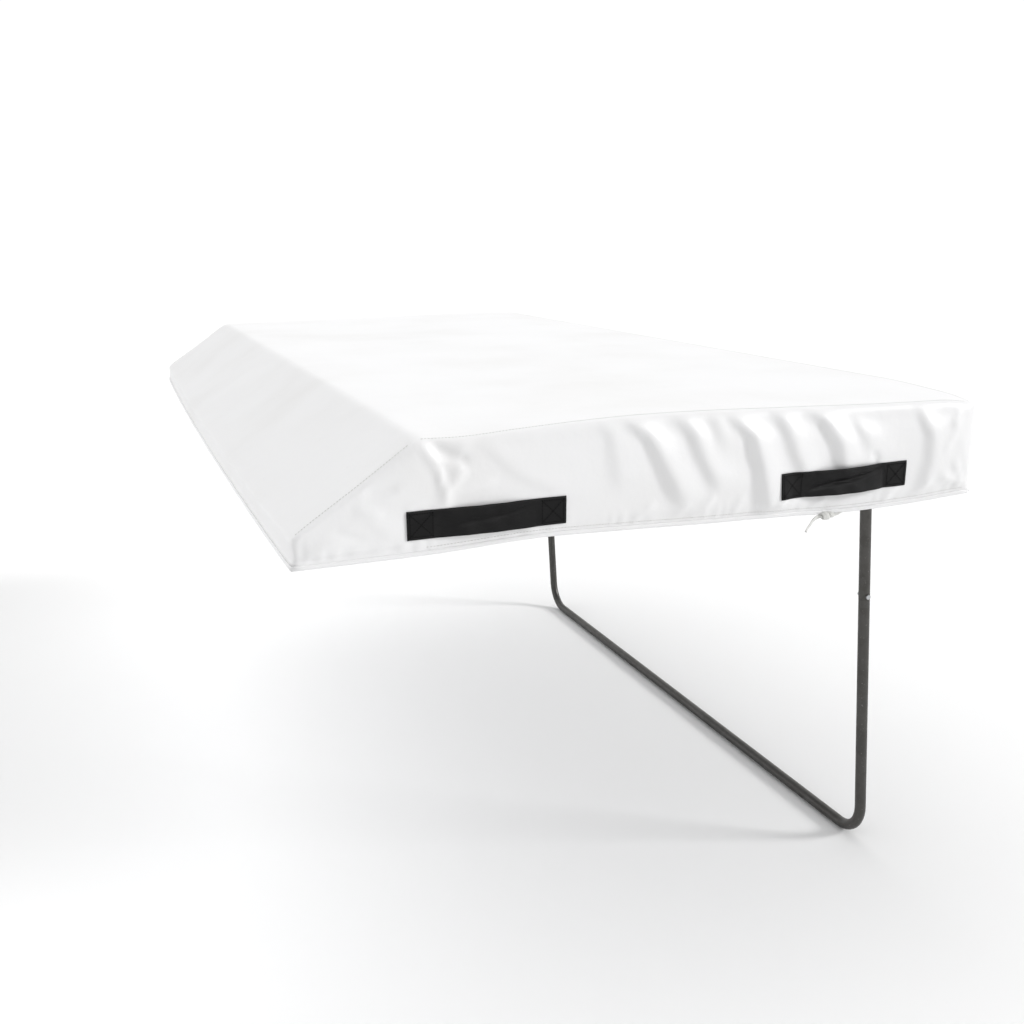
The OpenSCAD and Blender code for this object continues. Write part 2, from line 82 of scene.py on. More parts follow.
class Socket:
    """An output of a node tree that can be used in Python arithmetic."""

    def __init__(self, tree: "NodeTree", out: Optional[bpy.types.NodeSocket]) -> None:
        """Wraps one output socket of a tree."""
        self.tree = tree
        self.out = out

    def _maths(self, operation: str, *values: "Operand") -> "Socket":
        """Adds a Math node that works on the given values."""
        return self.tree.node("ShaderNodeMath", {"operation": operation}, dict(enumerate(values)))

    def __add__(self, other: "Operand") -> "Socket":
        """self + other."""
        return self._maths("ADD", self, other)

    def __sub__(self, other: "Operand") -> "Socket":
        """self - other."""
        return self._maths("SUBTRACT", self, other)

    def __rsub__(self, other: "Operand") -> "Socket":
        """other - self."""
        return self._maths("SUBTRACT", other, self)

    def __mul__(self, other: "Operand") -> "Socket":
        """self * other."""
        return self._maths("MULTIPLY", self, other)

    __radd__ = __add__
    __rmul__ = __mul__

    def sine(self) -> "Socket":
        """The sine of the value, in radians."""
        return self._maths("SINE", self)

    def above(self, level: float, soft: float) -> "Socket":
        """0 below a level and 1 above it, turning over a width of twice soft."""
        return self.tree.node(
            "ShaderNodeMapRange", {"interpolation_type": "SMOOTHSTEP", "clamp": True},
            {"Value": self, "From Min": level - soft, "From Max": level + soft})


Operand = Union[Socket, float]
Colour = Union[Socket, Sequence[float]]


class NodeTree:
    """A node tree, with one method that adds any node."""

    def __init__(self, tree: bpy.types.NodeTree) -> None:
        """Empties a tree and keeps it."""
        self.tree = tree
        self.tree.nodes.clear()

    def node(self, kind: str, settings: Optional[dict] = None, inputs: Optional[dict] = None,
             output: Union[int, str] = 0) -> Socket:
        """Adds a node.

        Args:
            kind: The node's type, such as ShaderNodeMath.
            settings: Its properties, which are set first.
            inputs: Values or links of its sockets, by name or number.
            output: The output to give back.

        Returns:
            That output, wrapped.
        """
        made = self.tree.nodes.new(kind)
        for key, value in (settings or {}).items():
            setattr(made, key, value)
        for key, value in (inputs or {}).items():
            if isinstance(value, Socket):
                self.tree.links.new(value.out, made.inputs[key])
            else:
                made.inputs[key].default_value = value
        return Socket(self, made.outputs[output] if made.outputs else None)


class ShaderTree(NodeTree):
    """A material's node tree."""

    MIX_ONE, MIX_TWO, MIX_RESULT = 6, 7, 2        # the Mix node's colour sockets

    def __init__(self, name: str) -> None:
        """Makes an empty material.

        Args:
            name: The material's name.
        """
        self.material = bpy.data.materials.new(name)
        self.material.use_nodes = True
        super().__init__(self.material.node_tree)

    def noise(self, where: Socket, scale: float, detail: float = 3.0, rough: float = 0.5) -> Socket:
        """A cloudy value from 0 to 1 at the given scale per metre."""
        return self.node("ShaderNodeTexNoise", None, {
            "Vector": where, "Scale": scale, "Detail": detail, "Roughness": rough})

    def blend(self, share: Operand, one: Colour, two: Colour) -> Socket:
        """Mixes two colours.

        Args:
            share: How much of the second colour there is, from 0 to 1.
            one: The first colour.
            two: The second colour.

        Returns:
            The mixed colour.
        """
        colours = {slot: colour if isinstance(colour, Socket) else (*colour, 1.0)
                   for slot, colour in ((self.MIX_ONE, one), (self.MIX_TWO, two))}
        return self.node("ShaderNodeMix", {"data_type": "RGBA"}, {0: share, **colours}, self.MIX_RESULT)

    def object_place(self) -> Socket:
        """The Object coordinates."""
        return self.node("ShaderNodeTexCoord", None, None, "Object")

    def uv(self) -> Socket:
        """The piece's own UV map."""
        return self.node("ShaderNodeTexCoord", None, None, "UV")

    def axis(self, where: Socket, name: str) -> Socket:
        """One axis, X, Y or Z, of a vector."""
        return self.node("ShaderNodeSeparateXYZ", None, {0: where}, name)

    def bump(self, height: Socket, depth: float, strength: float = 1.0) -> Socket:
        """A normal bent by a height, which is scaled to depth metres."""
        return self.node("ShaderNodeBump", None, {
            "Height": height, "Distance": depth, "Strength": strength}, "Normal")

    def finish(self, fixed: dict, varying: dict) -> bpy.types.Material:
        """Adds the Principled shader and the output.

        Args:
            fixed: Values that are the same all over, set on the shader's own sockets.
            varying: Links to the sockets that may vary.

        Returns:
            The material.
        """
        shader = self.node("ShaderNodeBsdfPrincipled", None, {**fixed, **varying})
        self.node("ShaderNodeOutputMaterial", None, {"Surface": shader})
        return self.material


class GeometryTree(NodeTree):
    """A Geometry Nodes tree with named sizes."""

    def __init__(self, name: str, sizes: Iterable[str]) -> None:
        """Makes a tree that takes a geometry and some sizes.

        Args:
            name: The tree's name.
            sizes: The sizes' names.
        """
        super().__init__(bpy.data.node_groups.new(name, "GeometryNodeTree"))
        face = self.tree.interface
        face.new_socket("Geometry", in_out="INPUT", socket_type="NodeSocketGeometry")
        for size in sizes:
            face.new_socket(size, in_out="INPUT", socket_type="NodeSocketFloat")
        face.new_socket("Geometry", in_out="OUTPUT", socket_type="NodeSocketGeometry")
        self.given = self.tree.nodes.new("NodeGroupInput")

    def size(self, name: str) -> Socket:
        """The tree's own input of that name."""
        return Socket(self, self.given.outputs[name])

    def vector(self, x: Operand, y: Operand, z: Operand) -> Socket:
        """A vector of three values."""
        return self.node("ShaderNodeCombineXYZ", None, {"X": x, "Y": y, "Z": z})

    def finish(self, shape: Socket, finish: "Finish") -> None:
        """Ends the tree: real geometry with its material.

        Args:
            shape: The geometry, which may hold instances.
            finish: The finish that it gets.
        """
        real = self.node("GeometryNodeRealizeInstances", None, {"Geometry": shape})
        done = self.node("GeometryNodeSetMaterial", None,
                         {"Geometry": real, "Material": material(finish)})
        self.node("NodeGroupOutput", None, {"Geometry": done})

    def run(self, obj: bpy.types.Object, sizes: dict[str, float]) -> None:
        """Runs the tree on an object and keeps the result as its plain mesh.

        Args:
            obj: The object that carries the rows.
            sizes: The value of each named size.
        """
        modifier = obj.modifiers.new(self.tree.name, "NODES")
        modifier.node_group = self.tree
        for item in self.tree.interface.items_tree:
            if item.in_out == "INPUT" and item.name in sizes:
                modifier[item.identifier] = sizes[item.name]
        applied(obj)


# ---------------------------------------------------------------- finishes

@dataclass(frozen=True)
class CoatedVinyl:
    """PVC-coated scrim fabric: a soft sheen, a fine thread pattern and faint handling marks."""

    name: str
    colour: tuple[float, float, float]
    soil: tuple[float, float, float]
    roughness: float = 0.42
    thread_pitch: float = 1.6 * MM
    thread_depth: float = 0.005 * MM
    crinkle: float = 1.6 * MM

    def material(self) -> bpy.types.Material:
        """Builds the material.

        Returns:
            The material.
        """
        t = ShaderTree(self.name)
        place = t.object_place()
        turn = 2 * math.pi / self.thread_pitch
        threads = [(t.axis(place, a) * turn).sine() for a in "XYZ"]
        weave = threads[0] + threads[1] + threads[2]
        clouds = t.noise(place, 3.0, 4.0)
        soft = t.noise(place, 14.0, 4.0, 0.55)
        marks = t.noise(place, 45.0, 6.0, 0.7).above(0.66, 0.07)
        colour = t.blend(clouds.above(0.62, 0.25) * 0.35 + marks * 0.12, self.colour, self.soil)
        height = soft * self.crinkle + weave * self.thread_depth
        return t.finish(
            {"IOR": 1.5, "Coat Roughness": 0.35, "Specular IOR Level": 0.45},
            {"Base Color": colour,
             "Roughness": clouds * 0.16 + (self.roughness - 0.08) + marks * 0.1,
             "Normal": t.bump(height, 1.0, 0.8)})


@dataclass(frozen=True)
class Webbing:
    """Woven strap: ribs along the strap, a twill across them and a soft sheen."""

    name: str
    colour: tuple[float, float, float]
    worn: tuple[float, float, float]
    rib_pitch: float = 2.4 * MM
    pick_pitch: float = 1.5 * MM
    depth: float = 0.35 * MM

    def material(self) -> bpy.types.Material:
        """Builds the material, which reads a UV map in metres along and across the strap.

        Returns:
            The material.
        """
        t = ShaderTree(self.name)
        uv = t.uv()
        along = t.axis(uv, "X")
        across = t.axis(uv, "Y")
        ribs = (across * (2 * math.pi / self.rib_pitch)).sine()
        picks = ((along * (2 * math.pi / self.pick_pitch)) + ribs * 1.4).sine()
        weave = ribs * 0.5 + picks * 0.5
        fuzz = t.noise(t.object_place(), 420.0, 3.0)
        wear = t.noise(t.object_place(), 30.0, 4.0).above(0.56, 0.12)
        colour = t.blend(weave * 0.18 + 0.2 + wear * 0.3 + fuzz * 0.15, self.colour, self.worn)
        return t.finish(
            {"Sheen Weight": 0.02, "Sheen Roughness": 0.4, "Specular IOR Level": 0.16},
            {"Base Color": colour, "Roughness": fuzz * 0.2 + 0.42 - weave * 0.05,
             "Normal": t.bump(weave + fuzz * 0.4, self.depth, 0.7)})


@dataclass(frozen=True)
class Steel:
    """Drawn steel tube with a dull zinc skin, light scuffs and a warmer, duller bloom in cloudy patches."""

    name: str
    colour: tuple[float, float, float]
    dull: tuple[float, float, float]
    roughness: float = 0.38
    metallic: float = 0.9
    spangle: float = 55.0

    def material(self) -> bpy.types.Material:
        """Builds the material.

        Returns:
            The material.
        """
        t = ShaderTree(self.name)
        place = t.object_place()
        patches = t.node("ShaderNodeTexVoronoi", {"feature": "F1"},
                         {"Vector": place, "Scale": self.spangle}, "Color")
        tone = t.axis(patches, "X")
        clouds = t.noise(place, 9.0, 5.0, 0.6)
        scuffs = t.noise(place, 160.0, 5.0, 0.75).above(0.66, 0.05)
        colour = t.blend(clouds * 0.7 + tone * 0.2, self.colour, self.dull)
        return t.finish(
            {"Specular IOR Level": 0.5},
            {"Base Color": t.blend(scuffs * 0.35, colour, (0.55, 0.54, 0.52)),
             "Roughness": clouds * 0.22 + tone * 0.08 + (self.roughness - 0.1),
             "Metallic": clouds * -0.2 + self.metallic,
             "Normal": t.bump(clouds * 0.4 + scuffs * 0.1, 0.3 * MM, 0.5)})


@dataclass(frozen=True)
class Moulded:
    """Moulded plastic, rubber or foam: a fine grain over a nearly even colour."""

    name: str
    colour: tuple[float, float, float]
    pale: tuple[float, float, float]
    roughness: float = 0.5
    grain: float = 900.0
    depth: float = 0.05 * MM
    gloss: float = 0.4

    def material(self) -> bpy.types.Material:
        """Builds the material.

        Returns:
            The material.
        """
        t = ShaderTree(self.name)
        place = t.object_place()
        grain = t.noise(place, self.grain, 2.0)
        clouds = t.noise(place, 25.0, 4.0)
        return t.finish(
            {"Specular IOR Level": self.gloss},
            {"Base Color": t.blend(clouds * 0.6 + grain * 0.2, self.colour, self.pale),
             "Roughness": clouds * 0.15 + self.roughness - 0.05 + grain * 0.05,
             "Normal": t.bump(grain, self.depth, 0.8)})


class Finish(Enum):
    """The finishes of the end deck, each named after its slot in the record."""

    COVER = CoatedVinyl("cover_vinyl", (0.80, 0.80, 0.805), (0.68, 0.67, 0.655))
    BASE = CoatedVinyl("base_vinyl", (0.62, 0.63, 0.65), (0.50, 0.49, 0.47), 0.55)
    HANDLE = Webbing("black_webbing", (0.003, 0.003, 0.0034), (0.012, 0.0117, 0.0117))
    STRAP = Webbing("deck_webbing", (0.03, 0.03, 0.034), (0.09, 0.09, 0.092))
    TAPE = Webbing("white_tape", (0.78, 0.78, 0.76), (0.60, 0.60, 0.57), 1.4 * MM, 0.9 * MM, 0.15 * MM)
    ZIP_TAPE = Webbing("zip_tape", (0.66, 0.66, 0.66), (0.5, 0.5, 0.5), 1.2 * MM, 0.9 * MM, 0.12 * MM)
    THREAD = Moulded("black_thread", (0.003, 0.003, 0.003), (0.006, 0.006, 0.006), 0.9, gloss=0.02)
    WHITE_THREAD = Moulded("white_thread", (0.62, 0.62, 0.60), (0.52, 0.52, 0.50), 0.6)
    TUBE = Steel("galvanised_steel", (0.098, 0.096, 0.092), (0.058, 0.055, 0.050))
    ZINC = Steel("zinc_plate", (0.50, 0.51, 0.53), (0.36, 0.37, 0.38), 0.28, 0.95, 200.0)
    KEEPER = Steel("keeper_steel", (0.46, 0.38, 0.22), (0.34, 0.28, 0.17), 0.32, 0.9, 200.0)
    ZIP_METAL = Steel("zip_metal", (0.5, 0.5, 0.48), (0.4, 0.4, 0.38), 0.3, 0.9, 300.0)
    WELD = Steel("weld_bead", (0.16, 0.155, 0.15), (0.09, 0.085, 0.08), 0.5, 0.8, 400.0)
    RUBBER = Moulded("black_rubber", (0.022, 0.022, 0.022), (0.05, 0.05, 0.05), 0.62)
    PLASTIC = Moulded("black_plastic", (0.02, 0.02, 0.02), (0.045, 0.045, 0.045), 0.42)
    NYLON = Moulded("nylon", (0.78, 0.78, 0.74), (0.66, 0.66, 0.62), 0.4)
    SOFT_FOAM = Moulded("foam_soft", (0.80, 0.76, 0.62), (0.70, 0.64, 0.48), 0.85, 350.0, 0.8 * MM)
    FIRM_FOAM = Moulded("foam_firm", (0.42, 0.48, 0.58), (0.32, 0.37, 0.46), 0.85, 350.0, 0.8 * MM)


@lru_cache(maxsize=None)
def material(finish: Finish) -> bpy.types.Material:
    """Gives a finish's material, which is built once."""
    return finish.value.material()


# ---------------------------------------------------------------- helpers

FLAT_BELOW = -0.98       # a face whose normal's Z is lower than this is part of a flat underside


class Part(Enum):
    """The rigid bodies that the new pieces ride on."""

    DECK = "deck_frame"
    MAT = "mat"
    ZIP = "zip_runner"


class Side(Enum):
    """The mat's two long sides; the value is the sign of Y."""

    NEAR = -1
    FAR = 1


def dress(finish: Finish, *nodes: str) -> None:
    """Gives the frame's own nodes a finish.

    Args:
        finish: The finish.
        nodes: Names of nodes whose shape is kept.
    """
    for name in nodes:
        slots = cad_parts[name].data.materials
        slots.clear()
        slots.append(material(finish))
        log.info("dressed %s in %s", name, finish.value.name)


def placed(name: str, data: bpy.types.ID) -> bpy.types.Object:
    """Puts an object in the scene.

    Args:
        name: The object's name.
        data: Its mesh, light or camera.

    Returns:
        The object, at the origin.
    """
    made = bpy.data.objects.new(name, data)
    bpy.context.scene.collection.objects.link(made)
    return made


def piece(name: str, verts: Sequence, faces: Sequence, finish: Finish, smooth: bool = True,
          uvs: Optional[np.ndarray] = None) -> bpy.types.Object:
    """Makes a mesh object at the origin.

    Args:
        name: The piece's name.
        verts: Its vertices, in metres.
        faces: Its faces, as tuples of vertex numbers.
        finish: Its finish.
        smooth: Whether the faces are shaded smooth.
        uvs: For each vertex, its place on the UV map.

    Returns:
        The new object.
    """
    mesh = bpy.data.meshes.new(name)
    mesh.from_pydata([tuple(map(float, v)) for v in verts], [], [tuple(map(int, f)) for f in faces])
    mesh.polygons.foreach_set("use_smooth", [smooth] * len(mesh.polygons))
    if uvs is not None:
        corners = np.empty(len(mesh.loops), dtype=int)
        mesh.loops.foreach_get("vertex_index", corners)
        layer = mesh.uv_layers.new(name="UVMap")
        layer.data.foreach_set("uv", np.asarray(uvs, float)[corners].ravel())
    mesh.materials.append(material(finish))
    mesh.update()
    return placed(name, mesh)


def face_out(obj: bpy.types.Object) -> None:
    """Turns the faces of a closed mesh outwards.

    Args:
        obj: The object, whose mesh is changed.
    """
    work = bmesh.new()
    work.from_mesh(obj.data)
    bmesh.ops.recalc_face_normals(work, faces=work.faces)
    work.to_mesh(obj.data)
    work.free()


def applied(obj: bpy.types.Object) -> None:
    """Turns an object's modifiers into plain mesh and removes them.

    Args:
        obj: The object.
    """
    depsgraph = bpy.context.evaluated_depsgraph_get()
    result = bpy.data.meshes.new_from_object(obj.evaluated_get(depsgraph))
    obj.modifiers.clear()
    obj.data = result


def closed_below(obj: bpy.types.Object) -> None:
    """Closes the open underside of a shell, which is shaded flat.

    Args:
        obj: The shell, whose mesh is changed.
    """
    work = bmesh.new()
    work.from_mesh(obj.data)
    rim = [e for e in work.edges if e.is_boundary]
    bmesh.ops.triangle_fill(work, edges=rim, use_beauty=True)
    bmesh.ops.recalc_face_normals(work, faces=work.faces)
    for face in work.faces:
        face.smooth = face.normal.z > FLAT_BELOW
    work.to_mesh(obj.data)
    work.free()


def bevelled(obj: bpy.types.Object, width: float, segments: int = 2) -> None:
    """Rounds the sharp edges of a hard piece and applies the result.

    Args:
        obj: The piece.
        width: The width of each bevel.
        segments: How many strips it has.
    """
    edge = obj.modifiers.new("bevel", "BEVEL")
    edge.width = width
    edge.segments = segments
    edge.limit_method = "ANGLE"
    applied(obj)


def hand_in(obj: bpy.types.Object, part: Part, slot: str, *stands_for: str) -> None:
    """Rides a finished piece on its body and hides the frame's nodes that it stands for.

    Args:
        obj: The piece.
        part: The body that it moves with.
        slot: Its material slot; not used.
        stands_for: The frame's nodes that it replaces.
    """
    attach(obj, part.value)
    if stands_for:
        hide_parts(*stands_for)
    log.info("piece %s: %d faces, on %s", obj.name, len(obj.data.polygons), part.value)


def eased(value: np.ndarray, low: float, high: float) -> np.ndarray:
    """0 below low and 1 above high, turning smoothly between them."""
    t = np.clip((value - low) / (high - low), 0.0, 1.0)
    return t * t * (3 - 2 * t)


def through(value: np.ndarray, places: Sequence[float], heights: Sequence[float]) -> np.ndarray:
    """Reads a smooth line through a few chosen points.

    Args:
        value: Where to read it.
        places: The points' places, in rising order.
        heights: Their heights.

    Returns:
        The line's heights at those values.
    """
    places, heights = np.array(places), np.array(heights)
    slopes = np.gradient(heights, places)
    i = np.clip(np.searchsorted(places, value) - 1, 0, len(places) - 2)
    width = places[i + 1] - places[i]
    t = np.clip((value - places[i]) / width, 0.0, 1.0)
    return ((2 * t**3 - 3 * t**2 + 1) * heights[i] + (t**3 - 2 * t**2 + t) * width * slopes[i]
            + (3 * t**2 - 2 * t**3) * heights[i + 1] + (t**3 - t**2) * width * slopes[i + 1])


def lengthwise(path: np.ndarray) -> np.ndarray:
    """Distance along a path at each of its points."""
    return np.concatenate([[0.0], np.cumsum(np.linalg.norm(np.diff(path, axis=0), axis=1))])


def strip_section(width: float, thickness: float, points: int = 9) -> np.ndarray:
    """Draws the cross-section of a flat strap with rounded selvedges.

    Args:
        width: The strap's width.
        thickness: Its thickness in the middle.
        points: How many points each face has.

    Returns:
        The section's points, across the strap and through it.
    """
    s = np.linspace(-1, 1, points)
    high = thickness / 2 * np.sqrt(1 - 0.75 * np.abs(s) ** 6)
    upper = np.stack([s * width / 2, high], axis=1)
    return np.concatenate([upper, upper[::-1] * (1, -1)])


def round_section(radius: float, points: int = 8) -> np.ndarray:
    """The cross-section of a round cord."""
    turn = np.linspace(0, 2 * math.pi, points, endpoint=False)
    return radius * np.stack([np.cos(turn), np.sin(turn)], axis=1)


def swept(name: str, path: np.ndarray, section: np.ndarray, finish: Finish, closed: bool = False,
          lift: Sequence = (0.0, 0.0, 1.0), swell: Optional[np.ndarray] = None) -> bpy.types.Object:
    """Sweeps a cross-section along a path.

    Args:
        name: The piece's name.
        path: The points of the path.
        section: Points of the cross-section, across the path and along its lift.
        finish: Its finish.
        closed: Whether the path is a loop.
        lift: The section's upward direction, one for all points or one for each.
        swell: For each point of the path, a factor on the section.

    Returns:
        A closed tube with a UV map in metres, along and across.
    """
    path = np.asarray(path, float)
    ahead = np.roll(path, -1, 0) - np.roll(path, 1, 0) if closed else np.gradient(path, axis=0)
    ahead /= np.linalg.norm(ahead, axis=1)[:, None]
    side = np.cross(np.broadcast_to(lift, path.shape), ahead)
    side /= np.linalg.norm(side, axis=1)[:, None]
    up = np.cross(ahead, side)
    size = np.ones(len(path)) if swell is None else swell
    k = len(section)
    rings = (path[:, None] + size[:, None, None] * (section[None, :, :1] * side[:, None]
                                                    + section[None, :, 1:] * up[:, None]))
    along = lengthwise(path)
    uvs = np.stack([np.repeat(along, k), np.tile(section[:, 0], len(path))], axis=1)
    faces = []
    count = len(path)
    for i in range(count if closed else count - 1):
        a, b = i * k, (i + 1) % count * k
        faces += [(a + j, b + j, b + (j + 1) % k, a + (j + 1) % k) for j in range(k)]
    if not closed:
        faces += [tuple(range(k)), tuple(range(count * k - 1, (count - 1) * k - 1, -1))]
    obj = piece(name, rings.reshape(-1, 3), faces, finish, uvs=uvs)
    face_out(obj)
    return obj


def slab(name: str, front: np.ndarray, back: np.ndarray, finish: Finish,
         uvs: Optional[np.ndarray] = None) -> bpy.types.Object:
    """Closes two matching grids of points into a slab.

    Args:
        name: The piece's name.
        front: The front grid.
        back: The back grid, point for point behind the front.
        finish: Its finish.
        uvs: The UV place of each grid point.

    Returns:
        The closed slab.
    """
    n, m = front.shape[:2]
    ids = np.arange(n * m).reshape(n, m)
    behind = ids + n * m
    faces = []
    for i in range(n - 1):
        for j in range(m - 1):
            faces.append((ids[i, j], ids[i + 1, j], ids[i + 1, j + 1], ids[i, j + 1]))
            faces.append((behind[i, j], behind[i, j + 1], behind[i + 1, j + 1], behind[i + 1, j]))
    rim = [*ids[:, 0], *ids[-1, 1:], *ids[-2::-1, -1], *ids[0, -2:0:-1]]
    for a, b in zip(rim, rim[1:] + rim[:1]):
        faces.append((a, a + n * m, b + n * m, b))
    verts = np.concatenate([front.reshape(-1, 3), back.reshape(-1, 3)])
    maps = None if uvs is None else np.tile(uvs.reshape(-1, 2), (2, 1))
    obj = piece(name, verts, faces, finish, uvs=maps)
    face_out(obj)
    return obj


class Surface:
    """A finished mesh that other pieces are laid on."""

    def __init__(self, obj: bpy.types.Object) -> None:
        """Sorts the mesh's faces for searching."""
        mesh = obj.data
        self.tree = BVHTree.FromPolygons([v.co for v in mesh.vertices], [p.vertices for p in mesh.polygons])

    def hit(self, start: Point, way: Point) -> tuple[Vector, Vector]:
        """Finds where a straight line meets the surface, and the outward normal there.

        Args:
            start: A point outside.
            way: The direction to look in.

        Returns:
            The place and the normal.
        """
        place, normal, _, _ = self.tree.ray_cast(Vector(start), Vector(way))
        if place is None:
            place, normal, _, _ = self.tree.find_nearest(Vector(start))
        if normal.dot(Vector(way)) > 0:
            normal = -normal
        return place, normal

    def below(self, x: float, y: float) -> tuple[Vector, Vector]:
        """The surface straight below a high point."""
        return self.hit((x, y, 1.0), (0, 0, -1))

    def beside(self, x: float, z: float, side: Side) -> tuple[Vector, Vector]:
        """The surface seen square on from a side."""
        return self.hit((x, side.value * 3.0, z), (0, -side.value, 0))

    def outside(self, y: float, z: float) -> tuple[Vector, Vector]:
        """The surface seen square on from the outer end."""
        return self.hit((3.0, y, z), (-1, 0, 0))


Row = Sequence[tuple[Vector, Vector]]


def boxed_cross(start: float, end: float, half: float) -> list[tuple[Place, Place]]:
    """Lays out the lines of a boxed cross on a strap.

    Args:
        start: Where the box starts along the strap.
        end: Where it ends.
        half: Half its height across the strap.

    Returns:
        The ends of each line, as places along and across the strap.
    """
    corners = [(start, -half), (end, -half), (end, half), (start, half)]
    return [*zip(corners, corners[1:] + corners[:1]), (corners[0], corners[2]), (corners[3], corners[1])]


@dataclass
class Stitching:
    """Rows of sewn thread, laid along lines on a surface by Geometry Nodes."""

    pitch: float = 6.0 * MM
    length: float = 4.4 * MM
    thread: float = 1.0 * MM
    sink: float = 0.15
    finish: Finish = Finish.WHITE_THREAD

    def tree(self) -> GeometryTree:
        """Builds the tree that turns lines into stitches.

        Returns:
            The tree, with the pitch, the length and the thread's width as its named sizes.
        """
        t = GeometryTree("stitches_" + self.finish.value.name, ("Pitch", "Length", "Thread"))
        line = t.node("GeometryNodeMeshToCurve", None, {"Mesh": t.size("Geometry")})
        even = t.node("GeometryNodeResampleCurve", {"mode": "LENGTH"},
                      {"Curve": line, "Length": t.size("Pitch")})
        stitch = t.node("GeometryNodeMeshUVSphere", None, {"Segments": 6, "Rings": 5, "Radius": 0.5})
        shaped = t.node("GeometryNodeTransform", None, {
            "Geometry": stitch, "Scale": t.vector(t.size("Length"), t.size("Thread"), t.size("Thread"))})
        lift = t.node("GeometryNodeInputNamedAttribute", {"data_type": "FLOAT_VECTOR"}, {"Name": "lift"})
        upright = t.node("FunctionNodeAlignRotationToVector", {"axis": "Z"}, {"Vector": lift})
        turned = t.node("FunctionNodeAlignRotationToVector", {"axis": "X", "pivot_axis": "Z"},
                        {"Rotation": upright, "Vector": t.node("GeometryNodeInputTangent")})
        laid = t.node("GeometryNodeInstanceOnPoints", None,
                      {"Points": even, "Instance": shaped, "Rotation": turned})
        t.finish(laid, self.finish)
        return t

    def sew(self, name: str, rows: Sequence[Row], part: Part, slot: str) -> bpy.types.Object:
        """Sews rows of stitches.

        Args:
            name: The piece's name.
            rows: For each row, places on the surface with their normals.
            part: The body they ride on.
            slot: Their material slot.

        Returns:
            The stitches as one plain mesh.
        """
        places, lifts, edges = [], [], []
        for row in rows:
            first = len(places)
            places += [p + n * self.thread * (0.5 - self.sink) for p, n in row]
            lifts += [n for _, n in row]
            edges += [(first + i, first + i + 1) for i in range(len(row) - 1)]
        mesh = bpy.data.meshes.new(name)
        mesh.from_pydata([tuple(p) for p in places], edges, [])
        layer = mesh.attributes.new("lift", "FLOAT_VECTOR", "POINT")
        layer.data.foreach_set("vector", np.array([tuple(n) for n in lifts]).ravel())
        obj = placed(name, mesh)
        self.tree().run(obj, {"Pitch": self.pitch, "Length": self.length, "Thread": self.thread})
        obj.data.polygons.foreach_set("use_smooth", [True] * len(obj.data.polygons))
        hand_in(obj, part, slot)
        return obj


# ---------------------------------------------------------------- the mat

@dataclass(frozen=True)
class Fold:
    """A drape fold down a side of the cover: a steep flank, a crest and a gentle flank.

    The crest's places are distances along the side and heights above the underside.
    """

    places: tuple[tuple[float, float], ...]
    height: float
    steep: float = 0.026
    gentle: float = 0.060

    def rise(self, x: np.ndarray, z: np.ndarray) -> np.ndarray:
        """Works out how far the fold lifts the cover.

        Args:
            x: Places along the side.
            z: Their heights above the underside.

        Returns:
            The lift at each place.
        """
        down = sorted(self.places, key=lambda p: p[1])
        zs, xs = [p[1] for p in down], [p[0] for p in down]
        off = x - np.interp(z, zs, xs)
        low_share = 1 - np.clip((z - zs[0]) / (zs[-1] - zs[0]), 0, 1)
        steep = self.steep * (0.55 + 0.6 * low_share)
        body = np.where(off < 0, eased(off / steep, -1.0, 0.1),
                        1 / (1 + (off / (self.gentle * (0.6 + 0.6 * low_share))) ** 2) ** 1.6)
        ends = eased(z, zs[0] - 0.030, zs[0] + 0.025) * eased(-z, -zs[-1] - 0.012, -zs[-1] + 0.030)
        return self.height * body * ends


@dataclass(frozen=True)
class Crease:
    """A sharp straight crease in the cover, raised or sunk, between two places on a side."""

    start: tuple[float, float]
    end: tuple[float, float]
    height: float
    width: float = 0.010

    def rise(self, x: np.ndarray, z: np.ndarray) -> np.ndarray:
        """Works out how far the crease lifts the cover.

        Args:
            x: Places along the side.
            z: Their heights above the underside.

        Returns:
            The lift at each place.
        """
        ax, az = self.start
        dx, dz = self.end[0] - ax, self.end[1] - az
        length = math.hypot(dx, dz)
        along = ((x - ax) * dx + (z - az) * dz) / length**2
        off = np.abs((x - ax) * dz - (z - az) * dx) / length
        inside = eased(along, -0.12, 0.15) * eased(-along, -1.12, -0.8)
        return self.height * inside * np.maximum(0.0, 1 - off / self.width) ** 1.3


def drape(*folds: tuple[float, tuple[tuple[float, float], ...]]) -> tuple[Fold, ...]:
    """Makes folds from their heights and places."""
    return tuple(Fold(places, height) for height, places in folds)


